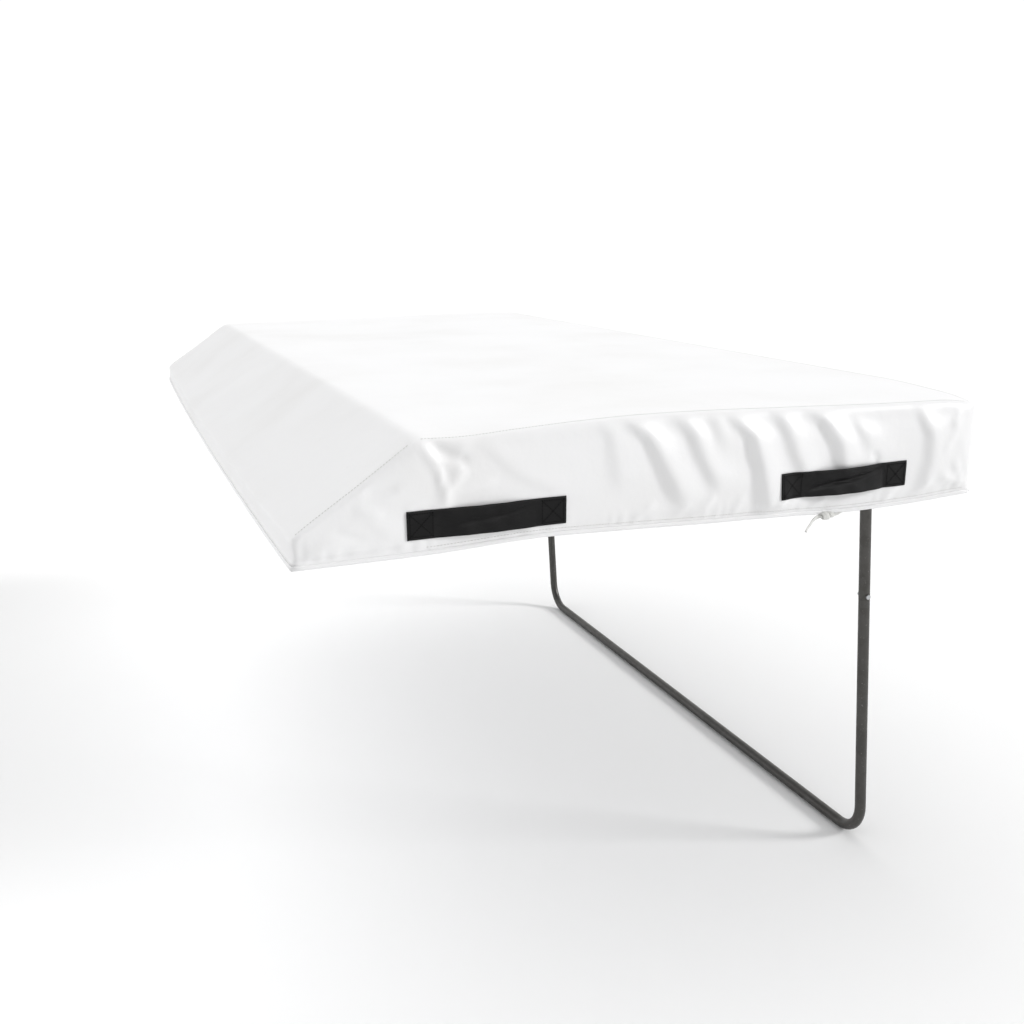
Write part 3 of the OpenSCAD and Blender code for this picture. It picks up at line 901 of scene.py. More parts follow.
@dataclass
class Mat:
    """The landing mat: a loose vinyl cover over foam, with a wedge at its inner end."""

    toe: float = 0.050
    hem: float = 0.014
    hem_height: float = 0.0035
    hem_pinch: float = 0.0022
    seam_in: float = 0.010
    stitch_step: float = 0.012
    side_pitch: float = 0.0085
    across_pitch: float = 0.018
    slope_columns: int = 28
    rows: int = 22
    crown: float = 0.004
    rumple: float = 0.0016
    belly: float = 0.004
    end_belly: float = 0.006
    end_lean: float = 0.014
    toe_bow: float = 0.014
    low_pucker: float = 0.0018
    high_pucker: float = 0.0010
    edge_round: float = 0.012
    corner: float = 0.040
    corner_drop: float = 0.008
    zip_band: float = 0.042
    skin: float = 1.2 * MM
    sheet: float = 0.8 * MM
    foam_inset: float = 0.018
    far_seed: int = 21
    end_seed: int = 5
    cloth_frames: int = 14
    cloth_pressure: float = 4.0
    cap: float = 0.0045
    near_folds: tuple[Fold, ...] = drape(
        (0.0050, ((0.535, 0.206), (0.572, 0.171), (0.580, 0.125), (0.588, 0.085))),
        (0.0130, ((0.590, 0.200), (0.644, 0.161), (0.674, 0.108), (0.712, 0.045))),
        (0.0120, ((0.694, 0.196), (0.730, 0.165), (0.750, 0.119), (0.784, 0.068))),
        (0.0065, ((0.770, 0.200), (0.800, 0.138))),
        (0.0150, ((0.802, 0.194), (0.852, 0.154), (0.872, 0.099), (0.892, 0.015))),
        (0.0110, ((0.904, 0.198), (0.930, 0.160), (0.946, 0.121), (0.976, 0.070))),
        (0.0150, ((0.958, 0.200), (1.008, 0.177), (1.042, 0.134), (1.056, 0.085))),
        (0.0060, ((1.082, 0.176), (1.124, 0.112))),
        (0.0090, ((1.232, 0.186), (1.258, 0.135), (1.260, 0.085), (1.248, 0.032))),
        (0.0030, ((0.330, 0.190), (0.400, 0.120), (0.470, 0.080))),
        (0.0025, ((0.110, 0.088), (0.150, 0.060), (0.170, 0.030))),
    )
    near_creases: tuple[Crease, ...] = (
        Crease((0.224, 0.194), (0.252, 0.150), 0.006, 0.012),
        Crease((0.252, 0.150), (0.262, 0.102), 0.008, 0.010),
        Crease((0.298, 0.150), (0.262, 0.104), 0.005, 0.014),
        Crease((0.300, 0.196), (0.280, 0.135), 0.003, 0.016),
        Crease((0.230, 0.200), (0.262, 0.176), -0.010, 0.013),
        Crease((0.258, 0.178), (0.304, 0.160), -0.009, 0.012),
        Crease((0.262, 0.102), (0.190, 0.086), 0.003, 0.016),
        Crease((0.262, 0.102), (0.350, 0.116), 0.0035, 0.018),
        Crease((0.262, 0.102), (0.268, 0.070), 0.005, 0.012),
        Crease((0.262, 0.102), (0.236, 0.060), 0.003, 0.014),
        Crease((0.128, 0.118), (0.178, 0.124), -0.004, 0.012),
        Crease((0.150, 0.146), (0.205, 0.176), -0.003, 0.010),
        Crease((0.110, 0.100), (0.150, 0.080), 0.003, 0.013),
        Crease((0.070, 0.060), (0.120, 0.040), -0.0025, 0.014),
        Crease((0.012, 0.050), (0.022, 0.012), -0.004, 0.010),
        Crease((1.345, 0.022), (1.318, 0.075), 0.006, 0.013),
        Crease((1.345, 0.020), (1.280, 0.052), 0.006, 0.015),
        Crease((1.338, 0.178), (1.312, 0.150), 0.005, 0.012),
        Crease((1.335, 0.160), (1.290, 0.100), 0.003, 0.018),
        Crease((1.118, 0.112), (1.134, 0.094), -0.006, 0.010),
        Crease((1.128, 0.092), (1.142, 0.068), -0.005, 0.010),
        Crease((0.620, 0.022), (0.655, 0.045), 0.004, 0.011),
        Crease((0.700, 0.020), (0.722, 0.040), 0.0035, 0.011),
        Crease((0.742, 0.018), (0.775, 0.052), 0.0045, 0.012),
        Crease((0.820, 0.016), (0.838, 0.046), 0.004, 0.011),
        Crease((0.905, 0.012), (0.930, 0.050), 0.006, 0.011),
        Crease((0.935, 0.010), (0.948, 0.036), 0.005, 0.009),
        Crease((0.985, 0.012), (1.030, 0.040), 0.005, 0.013),
        Crease((1.150, 0.016), (1.185, 0.040), 0.005, 0.013),
        Crease((1.215, 0.018), (1.262, 0.044), 0.005, 0.014),
    )
    near_under: tuple[Sequence[float], Sequence[float]] = (
        (0.0, 0.25, 0.43, 0.59, 0.76, 0.95, 1.03, 1.21, 1.35, 1.40),
        (0.0, 0.002, 0.009, 0.005, -0.001, -0.006, -0.010, -0.009, -0.002, 0.0))
    near_over: tuple[Sequence[float], Sequence[float]] = (
        (0.0, 0.22, 0.28, 0.41, 0.52, 0.65, 0.76, 0.95, 1.21, 1.34, 1.40),
        (0.0, 0.001, -0.002, 0.004, 0.009, 0.011, 0.009, 0.002, -0.007, -0.009, -0.009))

    def __post_init__(self) -> None:
        """Reads the mat's size and place from the frame."""
        low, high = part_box("mat_cover")
        self.x0, self.x1 = low[0], high[0]
        self.half = high[1]
        self.under, self.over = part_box("mat_base")[0][2], high[2]
        self.length = self.x1 - self.x0
        self.thick = self.over - self.under
        self.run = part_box("foam_firm_layer")[0][0] - self.x0
        self.soft_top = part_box("foam_firm_layer")[0][2] - self.under
        self.origin = np.array((self.x0, 0.0, self.under))

    # -- the shape, in the mat's own lengths: x from the toe, y from the middle, z from the underside

    def top_at(self, x: np.ndarray) -> np.ndarray:
        """Height of the top at places along the mat."""
        return np.minimum(self.toe + (self.thick - self.toe) * x / self.run, self.thick)

    def stations(self) -> np.ndarray:
        """Places along the mat where the cover's columns stand, with one at the crest."""
        flat = np.linspace(self.run, self.length, round((self.length - self.run) / self.side_pitch))
        return np.concatenate([np.linspace(0, self.run, self.slope_columns), flat[1:]])

    def lines(self) -> np.ndarray:
        """Places across the mat where the cover's rows run, closer together by the sides."""
        t = np.linspace(-1, 1, round(2 * self.half / self.across_pitch) + 1)
        return np.sign(t) * (1 - (1 - np.abs(t)) ** 1.15) * self.half

    def grid(self) -> tuple[np.ndarray, list[tuple[int, ...]]]:
        """Builds the flat-sided cover, open underneath.

        Returns:
            Its vertices and its faces.
        """
        xs, ys = self.stations(), self.lines()
        ts = np.linspace(0, 1, self.rows + 1)
        profile = [(0.0, self.toe * t) for t in ts[:-1]]
        profile += list(zip(xs, self.top_at(xs)))
        profile += [(self.length, self.thick * t) for t in ts[::-1][1:]]
        verts, faces, known = [], [], {}

        def vert(x: float, y: float, z: float) -> int:
            """Finds the vertex at a place, which is made at need.

            Args:
                x: Its place along the mat.
                y: Its place across.
                z: Its height.

            Returns:
                Its number.
            """
            key = (round(x, 6), round(y, 6), round(z, 6))
            if key not in known:
                known[key] = len(verts)
                verts.append((x, y, z))
            return known[key]

        for y in (-self.half, self.half):
            ids = [[vert(x, y, top * t) for t in ts] for x, top in zip(xs, self.top_at(xs))]
            for a, b in zip(ids, ids[1:]):
                faces += [(a[j], b[j], b[j + 1], a[j + 1])[::1 if y < 0 else -1] for j in range(self.rows)]
        ids = [[vert(x, y, z) for y in ys] for x, z in profile]
        for a, b in zip(ids, ids[1:]):
            faces += [(a[j], a[j + 1], b[j + 1], b[j]) for j in range(len(ys) - 1)]
        return np.array(verts), faces

    def scattered(self, seed: int, start: float, end: float, low: float, high: float) -> list[Fold]:
        """Folds along a side or end whose own ones aren't known, in the manner of the near side's.

        Args:
            seed: Fixes where they fall.
            start: Where the folds start along the face.
            end: Where they end.
            low: The lowest that a fold reaches.
            high: The height they start from.

        Returns:
            The folds.
        """
        rng = np.random.default_rng(seed)
        folds = []
        x = start
        while x < end:
            sweep = rng.uniform(0.02, 0.10)
            foot = low + rng.uniform(0.0, 0.07)
            mid = x + sweep * rng.uniform(0.5, 0.75)
            folds.append(Fold(((x, high), (mid, 0.6 * high + 0.4 * foot), (x + sweep, foot)),
                              rng.uniform(0.003, 0.012), rng.uniform(0.022, 0.034)))
            x += rng.uniform(0.06, 0.17)
        return folds

    def shaped(self, p: np.ndarray) -> np.ndarray:
        """Moves points from the flat-sided block to the soft shape of the cover.

        Args:
            p: The points, in the mat's own lengths.

        Returns:
            Their new places.
        """
        x, y, z = p.T
        up = z / self.top_at(x)
        new = p.copy()
        hang = np.sin(np.clip(up, 0, 1) * math.pi) ** 0.7 * self.belly
        hem = np.exp(-((z - self.hem) / self.hem_height) ** 2) * self.hem_pinch
        for side in Side:
            face = side.value * y > self.half - TINY
            marks = (*self.near_folds, *self.near_creases) if side is Side.NEAR else \
                self.scattered(self.far_seed, 0.30, 1.30, 0.02, 0.195)
            rise = sum(m.rise(x[face], z[face]) for m in marks)
            rise += (hang - hem)[face] + self.gathers(x[face], z[face], self.top_at(x[face]))
            new[face, 1] += side.value * rise
        self.shape_ends(new, p)
        self.warp(new, p, up)
        return new

    def gathers(self, x: np.ndarray, z: np.ndarray, top: np.ndarray) -> np.ndarray:
        """Puckers the cover by its seams, above the hem and under the top edge.

        Args:
            x: Places along the seam.
            z: Their heights.
            top: The height of the top edge there.

        Returns:
            How far the puckers lift the cover.
        """
        low = np.exp(-((z - self.hem - 0.004) / 0.013) ** 2) * (z > self.hem * 0.6)
        wave = np.sin(x * 230 + 4 * np.sin(x * 23)) * (0.3 + 0.7 * np.sin(x * 17 + 1.0) ** 2)
        high = np.exp(-((top - z) / 0.014) ** 2)
        tight = np.sin(x * 300 + 3 * np.sin(x * 31)) * (0.3 + 0.7 * np.sin(x * 13 + 2.0) ** 4)
        return self.low_pucker * low * wave + self.high_pucker * high * tight

    def shape_ends(self, new: np.ndarray, p: np.ndarray) -> None:
        """Bellies and folds the outer end above its zip, bows the toe and ruffles the slope.

        Args:
            new: The points' new places, which are changed.
            p: Their places on the flat-sided block.
        """
        x, y, z = p.T
        across = y + self.half
        outer = x > self.length - TINY
        mid = 0.8 + 0.2 * eased(np.minimum(across, 2 * self.half - across), 0.0, 0.12)
        lift = np.sin(np.clip((z - self.zip_band) / (self.thick - self.zip_band), 0, 1) * math.pi) ** 0.8
        rise = lift * self.end_belly + self.end_lean * eased(z, self.zip_band, 0.11)
        for fold in self.scattered(self.end_seed, 0.16, 2 * self.half - 0.2, self.zip_band + 0.035, 0.190):
            rise += fold.rise(across, z)
        rise += self.gathers(across, z + 1.0, np.full_like(z, self.thick + 1.0))
        new[outer, 0] += (rise * mid)[outer]
        bow = np.sin(np.clip(across / (2 * self.half), 0, 1) * math.pi) ** 0.7
        new[:, 0] -= self.toe_bow * bow * (1 - eased(x, 0.0, 0.9 * self.run))
        slope = (x < self.run) & (z > self.toe - TINY)
        ruffle = (np.sin(y * 5.3 + 1.7 * np.sin(y * 2.9 + x * 9)) * 0.0022
                  + np.sin(y * 13.7 + x * 11 + 2 * np.sin(y * 3.1)) * 0.0010)
        new[slope, 2] += (ruffle * np.sin(np.clip(x / self.run, 0, 1) * math.pi))[slope]

    def warp(self, new: np.ndarray, p: np.ndarray, up: np.ndarray) -> None:
        """Lets the overhanging near side rise and droop, and crowns and rumples the top.

        Args:
            new: The points' new places, which are changed.
            p: Their places on the flat-sided block.
            up: Their heights, from 0 at the underside to 1 at the top.
        """
        x, y, z = p.T
        over = eased(-y / self.half, 0.80, 1.0)
        up = np.clip(up, 0, 1)
        new[:, 2] += over * (through(x, *self.near_under) * (1 - up) + through(x, *self.near_over) * up)
        edge = self.half - np.abs(y)
        crown = eased(edge, 0.0, 0.30) * eased(x, 0.05, 0.35) * eased(self.length - x, 0.0, 0.25)
        waves = np.sin(x * 6.1 + 2 * np.sin(y * 2.3)) * np.sin(y * 4.7 + 1.5 * np.sin(x * 5.0))
        top = (up > 0.999) & (x > 0)
        new[:, 2] += np.where(top, crown * (self.crown + waves * self.rumple), 0.0)
        corner = np.exp(-(np.hypot(self.length - x, edge) / self.corner) ** 2) * up**3
        new[:, 2] -= self.corner_drop * corner

    # -- the cover

    def inflate(self, obj: bpy.types.Object, keep: np.ndarray) -> None:
        """Runs Blender's cloth with pressure on the cover, so the vinyl fills and puckers by itself.

        Args:
            obj: The cover, which is changed.
            keep: For each vertex, how much of the cloth's move it takes.
        """
        start = self.places(obj.data)
        sewn = obj.vertex_groups.new(name="sewn")
        sewn.add([int(i) for i in np.flatnonzero(keep < 0.01)], 1.0, "REPLACE")
        cloth = obj.modifiers.new("cloth", "CLOTH")
        rules = cloth.settings
        rules.quality = 4
        rules.vertex_group_mass = "sewn"
        rules.use_pressure = True
        rules.uniform_pressure_force = self.cloth_pressure
        rules.tension_stiffness = rules.compression_stiffness = 30
        rules.shear_stiffness = 12
        rules.bending_stiffness = 1.5
        rules.effector_weights.gravity = 0
        cloth.collision_settings.use_collision = False
        scene = bpy.context.scene
        for step in range(1, self.cloth_frames + 1):
            scene.frame_set(step)
        depsgraph = bpy.context.evaluated_depsgraph_get()
        moved = self.places(obj.evaluated_get(depsgraph).data)
        obj.modifiers.clear()
        obj.vertex_groups.clear()
        scene.frame_set(1)
        move = moved - start
        far = np.linalg.norm(move, axis=1)
        move *= (np.tanh(far / self.cap) * self.cap / np.maximum(far, 1e-9))[:, None]
        obj.data.vertices.foreach_set("co", (start + move * keep[:, None]).ravel())
        obj.data.update()
        log.info("cloth moved the cover by up to %.1f mm of %.1f mm", 1000 * self.cap, 1000 * far.max())

    @staticmethod
    def places(mesh: bpy.types.Mesh) -> np.ndarray:
        """Reads the places of a mesh's vertices.

        Args:
            mesh: The mesh.

        Returns:
            One row for each vertex.
        """
        co = np.empty(len(mesh.vertices) * 3)
        mesh.vertices.foreach_get("co", co)
        return co.reshape(-1, 3)

    def soften(self, obj: bpy.types.Object, flat: np.ndarray) -> None:
        """Rounds the edges between panels, most at the outer corners, by smoothing near them.

        Args:
            obj: The cover, which is changed.
            flat: The places of its vertices on the flat-sided block.
        """
        x, y, z = flat.T
        to_side, to_top = self.half - np.abs(y), self.top_at(x) - z
        to_end = np.minimum(x, self.length - x)
        nearest = np.sort(np.stack([to_side, to_top, to_end]), axis=0)
        edge = np.minimum(nearest[1], np.hypot(x - self.run, self.thick - z) * 1.3)
        corner = np.hypot(np.hypot(self.length - x, to_side), self.thick - z)
        weight = np.exp(-(edge / self.edge_round) ** 2) * 0.6 + 0.5 * np.exp(-(corner / self.corner) ** 2)
        share = np.where(z < TINY, 0.0, np.clip(weight, 0, 0.8))[:, None]
        links = np.array([tuple(e.vertices) for e in obj.data.edges])
        co = self.places(obj.data)
        count = np.bincount(links.ravel(), minlength=len(co))[:, None]
        for _ in range(5):
            total = np.zeros_like(co)
            for a, b in (links.T, links.T[::-1]):
                np.add.at(total, a, co[b])
            co = co + (total / count - co) * share
        obj.data.vertices.foreach_set("co", co.ravel())
        obj.data.update()

    def cover(self) -> None:
        """Builds the cover: panels, folds, cloth, soft edges and a closing subdivision."""
        flat, faces = self.grid()
        obj = piece("mat_cover_soft", self.shaped(flat) + self.origin, faces, Finish.COVER)
        x, _, z = flat.T
        keep = eased(z, 0.003, 0.030) * (0.2 + 0.8 * eased(self.top_at(x) - z, 0.0, 0.06))
        keep *= np.where(x > self.length - 0.02, eased(z, self.zip_band, self.zip_band + 0.03), 1.0)
        self.inflate(obj, keep)
        self.soften(obj, flat)
        bottom = flat[:, 2] < TINY
        co = self.places(obj.data)
        co[bottom, 2] += self.skin
        obj.data.vertices.foreach_set("co", co.ravel())
        finer = obj.modifiers.new("subdivision", "SUBSURF")
        finer.levels = finer.render_levels = 1
        applied(obj)
        closed_below(obj)
        hand_in(obj, Part.MAT, "cover_vinyl", "mat_cover")
        self.surface = Surface(obj)

    def rim(self) -> np.ndarray:
        """Follows the line round the mat's underside where cover and base are sewn together.

        Returns:
            The points of that loop.
        """
        xs, ys = self.stations()[::2], self.lines()[::2]
        loop = [(x, -self.half) for x in xs] + [(self.length, y) for y in ys[1:]]
        loop += [(x, self.half) for x in xs[-2::-1]] + [(0.0, y) for y in ys[-2:0:-1]]
        flat = np.array([(x, y, 0.0) for x, y in loop])
        return self.shaped(flat) + self.origin

    def base(self) -> None:
        """Builds the base sheet and the bound edge that joins it to the cover."""
        xs, ys = self.stations()[::4], self.lines()[::4]
        flat = np.array([[(x, y, 0.0) for y in ys] for x in xs])
        low = self.shaped(flat.reshape(-1, 3)).reshape(flat.shape) + self.origin
        uvs = flat[:, :, :2]
        sheet = slab("mat_base_sheet", low + (0, 0, self.sheet), low, Finish.BASE, uvs)
        hand_in(sheet, Part.MAT, "base_vinyl", "mat_base")
        loop = self.rim()
        ahead = np.roll(loop, -1, 0) - np.roll(loop, 1, 0)
        out = np.stack([ahead[:, 1], -ahead[:, 0], np.zeros(len(loop))], axis=1)
        out /= np.linalg.norm(out, axis=1)[:, None]
        section = strip_section(4.0 * MM, 8.0 * MM, 5)
        edge = swept("mat_bound_edge", loop + out * 1.0 * MM + (0, 0, 2.2 * MM), section, Finish.COVER, True)
        hand_in(edge, Part.MAT, "cover_vinyl")

    def foam(self) -> None:
        """Builds the three foam blocks inside the cover."""
        inset, half = self.foam_inset, self.half - self.foam_inset
        ys = np.linspace(-half, half, 60)
        blocks = (("foam_wedge_block", "foam_wedge", "foam_soft", Finish.SOFT_FOAM, inset, self.run,
                   0.0, self.thick),
                  ("foam_soft_block", "foam_soft_layer", "foam_soft", Finish.SOFT_FOAM, self.run,
                   self.length - inset, 0.0, self.soft_top),
                  ("foam_firm_block", "foam_firm_layer", "foam_firm", Finish.FIRM_FOAM, self.run,
                   self.length - inset, self.soft_top, self.thick))
        for name, node, slot, finish, x_low, x_high, z_low, z_high in blocks:
            grids = []
            for level in (z_high, z_low):
                flat = np.array([[(x, y, 0.0) for y in ys] for x in np.linspace(x_low, x_high, 40)])
                x = flat[:, :, 0]
                z = np.minimum(level, self.top_at(x) - inset) if level > 0 else np.full_like(x, 3 * MM)
                flat[:, :, 2] = z
                points = flat.reshape(-1, 3)
                new = points.copy()
                self.warp(new, points, points[:, 2] / self.top_at(points[:, 0]))
                new[:, 0] += inset * 0.3 * (points[:, 0] < inset + TINY)
                grids.append(new.reshape(flat.shape) + self.origin)
            hand_in(slab(name, grids[0], grids[1], finish), Part.MAT, slot, node)

    def seams(self) -> None:
        """Sews the rows of stitches that show: round the top, and along the hem."""
        step = self.stitch_step
        xs = np.arange(self.run + 0.01, self.length - step, step)
        ys = np.arange(-self.half + 0.014, self.half - step, 0.02)
        rows = []
        for side in Side:
            y = side.value * (self.half - self.seam_in)
            rows.append([self.surface.below(self.x0 + x, y) for x in xs])
            hem = self.under + self.hem - 1.5 * MM + through(xs, *self.near_under) * (side is Side.NEAR)
            rows.append([self.surface.beside(self.x0 + x, z, side) for x, z in zip(xs, hem)])
            slope = np.arange(step, self.run - 0.008, step)
            rows.append([self.surface.below(self.x0 + x, y) for x in slope])
        rows.append([self.surface.below(self.x1 - self.seam_in, y) for y in ys])
        Stitching().sew("mat_seam_stitches", rows, Part.MAT, "cover_vinyl")

    def build(self) -> None:
        """Builds every piece of the mat."""
        self.cover()
        self.base()
        self.foam()
        self.seams()


@dataclass
class Handle:
    """A webbing carrying handle, sewn down at both ends with a boxed cross."""

    node: str
    side: Side
    bow: float
    twist: float
    thickness: float = 2.4 * MM
    patch: float = 0.050
    sewing_inset: float = 5 * MM
    stand_off: float = 0.3 * MM
    columns: int = 97
    rows: int = 15
    seed: int = 1

    def __post_init__(self) -> None:
        """Reads the handle's place from its node."""
        low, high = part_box(self.node)
        self.x_low, self.x_high = low[0], high[0]
        self.z_mid, self.width = (low[2] + high[2]) / 2, high[2] - low[2]
        self.span = self.x_high - self.x_low

    def relief(self, cover: Surface) -> None:
        """Works out how far the handle's back stands off the middle plane, all over it.

        Args:
            cover: The finished cover that the handle is sewn to.
        """
        self.us = np.linspace(0, self.span, self.columns)
        self.vs = np.linspace(-1, 1, self.rows)
        u, v = np.meshgrid(self.us, self.vs, indexing="ij")
        x = self.x_low + u
        z = self.z_mid + v * self.width / 2
        under = np.array([[abs(cover.beside(a, b, self.side)[0].y) for a, b in zip(xa, za)]
                          for xa, za in zip(x, z)])
        kernel = np.ones(9) / 9
        calm = np.array([np.convolve(np.pad(col, 4, "edge"), kernel, "valid") for col in under.T]).T
        calm = calm.mean(axis=1, keepdims=True) * 0.7 + calm * 0.3
        free = (self.us - self.patch) / (self.span - 2 * self.patch)
        t = np.clip(free, 0, 1)[:, None]
        ends = calm[[12, -13]].mean(axis=1)
        chord = ends[0] + (ends[1] - ends[0]) * t
        rng = np.random.default_rng(self.seed)
        wave = np.sin(t * math.pi)
        line = -0.55 + 1.25 * t + 0.1 * np.sin(t * 7)
        crease = np.exp(-((v - line) / 0.14) ** 2) * wave
        tilt = (v - line) * np.tanh((v - line) * 3) * wave
        ripple = np.sin(t * 23 + v * 2.1 + rng.uniform(0, 6)) * wave * 0.0008
        bowed = chord + wave * self.bow + self.twist * (0.5 * tilt - crease) * 0.01 + ripple
        grip = eased(t, 0.0, 0.07) * eased(1 - t, 0.0, 0.07)
        self.off = np.maximum(calm * (1 - grip) + bowed * grip, under + self.stand_off)
        self.x, self.z = x, z

    def grid(self, lift: float) -> np.ndarray:
        """Points of the handle at a distance, lift, in front of its back."""
        edge = 1 - 0.45 * np.abs(self.vs[None, :]) ** 8
        return np.stack([self.x, self.side.value * (self.off + lift * edge), self.z], axis=2)

    def patch_rows(self, start: float) -> list[Row]:
        """Lays the boxed cross of one patch on the webbing.

        Args:
            start: Where the patch starts along the handle.

        Returns:
            The rows of the cross.
        """
        inset = self.sewing_inset
        lines = boxed_cross(start + inset, start + self.patch - inset, self.width / 2 - inset)
        front = self.grid(self.thickness)[:, :, 1]
        rows = []
        for (u0, w0), (u1, w1) in lines:
            row = []
            for k in np.linspace(0, 1, 14):
                u, w = u0 + (u1 - u0) * k, w0 + (w1 - w0) * k
                i, j = np.interp(u, self.us, np.arange(len(self.us))), np.interp(
                    w / (self.width / 2), self.vs, np.arange(len(self.vs)))
                y = front[int(round(i)), int(round(j))]
                row.append((Vector((self.x_low + u, y, self.z_mid + w)), Vector((0, self.side.value, 0))))
            rows.append(row)
        return rows

    def build(self, cover: Surface) -> None:
        """Builds the webbing and its stitches.

        Args:
            cover: The finished cover that they are laid on.
        """
        self.relief(cover)
        uvs = np.stack([self.x - self.x_low, self.z - self.z_mid], axis=2)
        web = slab(self.node + "_webbing", self.grid(self.thickness), self.grid(0.0), Finish.HANDLE, uvs)
        hand_in(web, Part.MAT, "black_webbing", self.node)
        rows = self.patch_rows(0.0) + self.patch_rows(self.span - self.patch)
        sewing = Stitching(4.2 * MM, 3.4 * MM, 1.1 * MM, 0.25, Finish.THREAD)
        sewing.sew(self.node + "_stitches", rows, Part.MAT, "black_webbing")


@dataclass
class ZipFastener:
    """The zip across the outer end: woven tape, coil, end stops, slider and pull."""

    tooth_pitch: float = 2.4 * MM
    tooth_stretch: tuple[float, float] = (1.9, 5.6)
    tape_thickness: float = 1.0 * MM
    tape_sink: float = 0.3 * MM
    seam_in: float = 3 * MM
    stop: Point = (3.0 * MM, 3.2 * MM, 8.0 * MM)
    bridge_rise: float = 2.6 * MM
    bridge_half: float = 5.5 * MM
    tab_thickness: float = 1.6 * MM

    def tape(self, cover: Surface) -> None:
        """Builds the tape, with the stitches that hold it.

        Args:
            cover: The finished cover that it is laid on.
        """
        low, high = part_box("zip_chain")
        self.low, self.high = low, high
        self.z = (low[2] + high[2]) / 2
        ys = np.linspace(low[1], high[1], 261)
        zs = np.linspace(low[2], high[2], 9)
        y, z = np.meshgrid(ys, zs, indexing="ij")
        x = np.array([[max(cover.outside(a, b)[0].x, low[0] - 1 * MM) for a, b in zip(ya, za)]
                      for ya, za in zip(y, z)])
        face = np.minimum(x, low[0] + 0.4 * MM)
        front = np.stack([face + self.tape_thickness, y, z], axis=2)
        back = np.stack([face - self.tape_sink, y, z], axis=2)
        tape = slab("zip_tape_woven", front, back, Finish.ZIP_TAPE, np.stack([y, z], axis=2))
        hand_in(tape, Part.MAT, "zip_tape", "zip_chain")
        out = Vector((1, 0, 0))
        rows = []
        for level in (low[2] + self.seam_in, high[2] - self.seam_in):
            rows.append([(Vector((low[0] + self.tape_thickness, a, level)), out) for a in ys[1:-1]])
        Stitching(5 * MM, 3.6 * MM, 0.9 * MM).sew("zip_stitches", rows, Part.MAT, "zip_tape")

    def coil(self) -> None:
        """Builds the coil as evenly set teeth."""
        out = Vector((1, 0, 0))
        line = [(Vector((self.low[0] + self.tape_thickness + 0.4 * MM, y, self.z)), out)
                for y in np.linspace(self.low[1] + 0.004, self.high[1] - 0.004, 60)]
        teeth = Stitching(self.tooth_pitch, 1.7 * MM, 1.0 * MM, 0.2, Finish.NYLON)
        row = teeth.sew("zip_coil", [line], Part.MAT, "zip_tape")
        co = Mat.places(row.data)
        deep, tall = self.tooth_stretch
        co[:, 2] = self.z + (co[:, 2] - self.z) * tall
        co[:, 0] = self.low[0] + self.tape_thickness + (co[:, 0] - co[:, 0].min()) * deep
        row.data.vertices.foreach_set("co", co.ravel())
        row.data.update()
        for end, y in (("near", self.low[1] + 0.002), ("far", self.high[1] - 0.002)):
            centre = (self.low[0] + 2.2 * MM, y, self.z)
            stop = block(f"zip_stop_{end}", centre, self.stop, Finish.ZIP_METAL)
            bevelled(stop, 0.6 * MM)
            hand_in(stop, Part.MAT, "zip_metal")

    def slider(self) -> None:
        """Builds the slider's shaped body with its bridge, and the pull."""
        low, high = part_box("zip_slider")
        mid_y, mid_z = (low[1] + high[1]) / 2, (low[2] + high[2]) / 2
        half_l, half_w = (high[1] - low[1]) / 2, (high[2] - low[2]) / 2
        outline = [(-half_l, 0.62 * half_w), (-0.3 * half_l, half_w), (half_l, 0.95 * half_w)]
        ring = outline + [(a, -b) for a, b in outline[::-1]]
        plate = prism("slider_body", [(y + mid_y, z + mid_z) for y, z in ring], low[0] + 2.9 * MM, high[0],
                      Finish.ZIP_METAL)
        bevelled(plate, 0.7 * MM)
        hand_in(plate, Part.ZIP, "zip_metal", "zip_slider")
        turns = np.linspace(0, math.pi, 15)
        arch = np.array([(high[0] + self.bridge_rise * math.sin(t) - 0.3 * MM,
                          mid_y - self.bridge_half * math.cos(t), mid_z) for t in turns])
        lift = np.array([(math.sin(t) + 1e-3, -math.cos(t), 0) for t in turns])
        section = strip_section(2.6 * MM, 1.1 * MM, 5)
        bridge = swept("slider_bridge", arch, section, Finish.ZIP_METAL, lift=lift)
        hand_in(bridge, Part.ZIP, "zip_metal")
        self.pull(mid_y, mid_z, high[0])

    def pull(self, y: float, z: float, x: float) -> None:
        """Builds the pull tab, hung from the bridge.

        Args:
            y: The middle of the slider across the mat.
            z: Its middle in height.
            x: Its outer face.
        """
        low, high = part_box("zip_pull")
        width, foot = high[1] - low[1], low[2]
        turns = np.linspace(math.pi, 2 * math.pi, 13)
        outer = [(y + width / 2 * math.cos(t), foot + width / 2 + width / 2 * math.sin(t)) for t in turns]
        outer += [(y + 0.34 * width * math.cos(t), z + 1 * MM + 0.34 * width * math.sin(t))
                  for t in np.linspace(0, math.pi, 9)]
        hole = [(y + 0.26 * width * math.cos(t), foot + width / 2 + 0.26 * width * math.sin(t))
                for t in np.linspace(math.pi, 3 * math.pi, len(outer), endpoint=False)]
        tab = holed("pull_tab", outer, hole, x + 0.1 * MM, x + 0.1 * MM + self.tab_thickness,
                    Finish.ZIP_METAL)
        bevelled(tab, 0.35 * MM)
        hand_in(tab, Part.ZIP, "zip_metal", "zip_pull")

    def build(self, cover: Surface) -> None:
        """Builds the whole zip.

        Args:
            cover: The finished cover that it is laid on.
        """
        self.tape(cover)
        self.coil()
        self.slider()


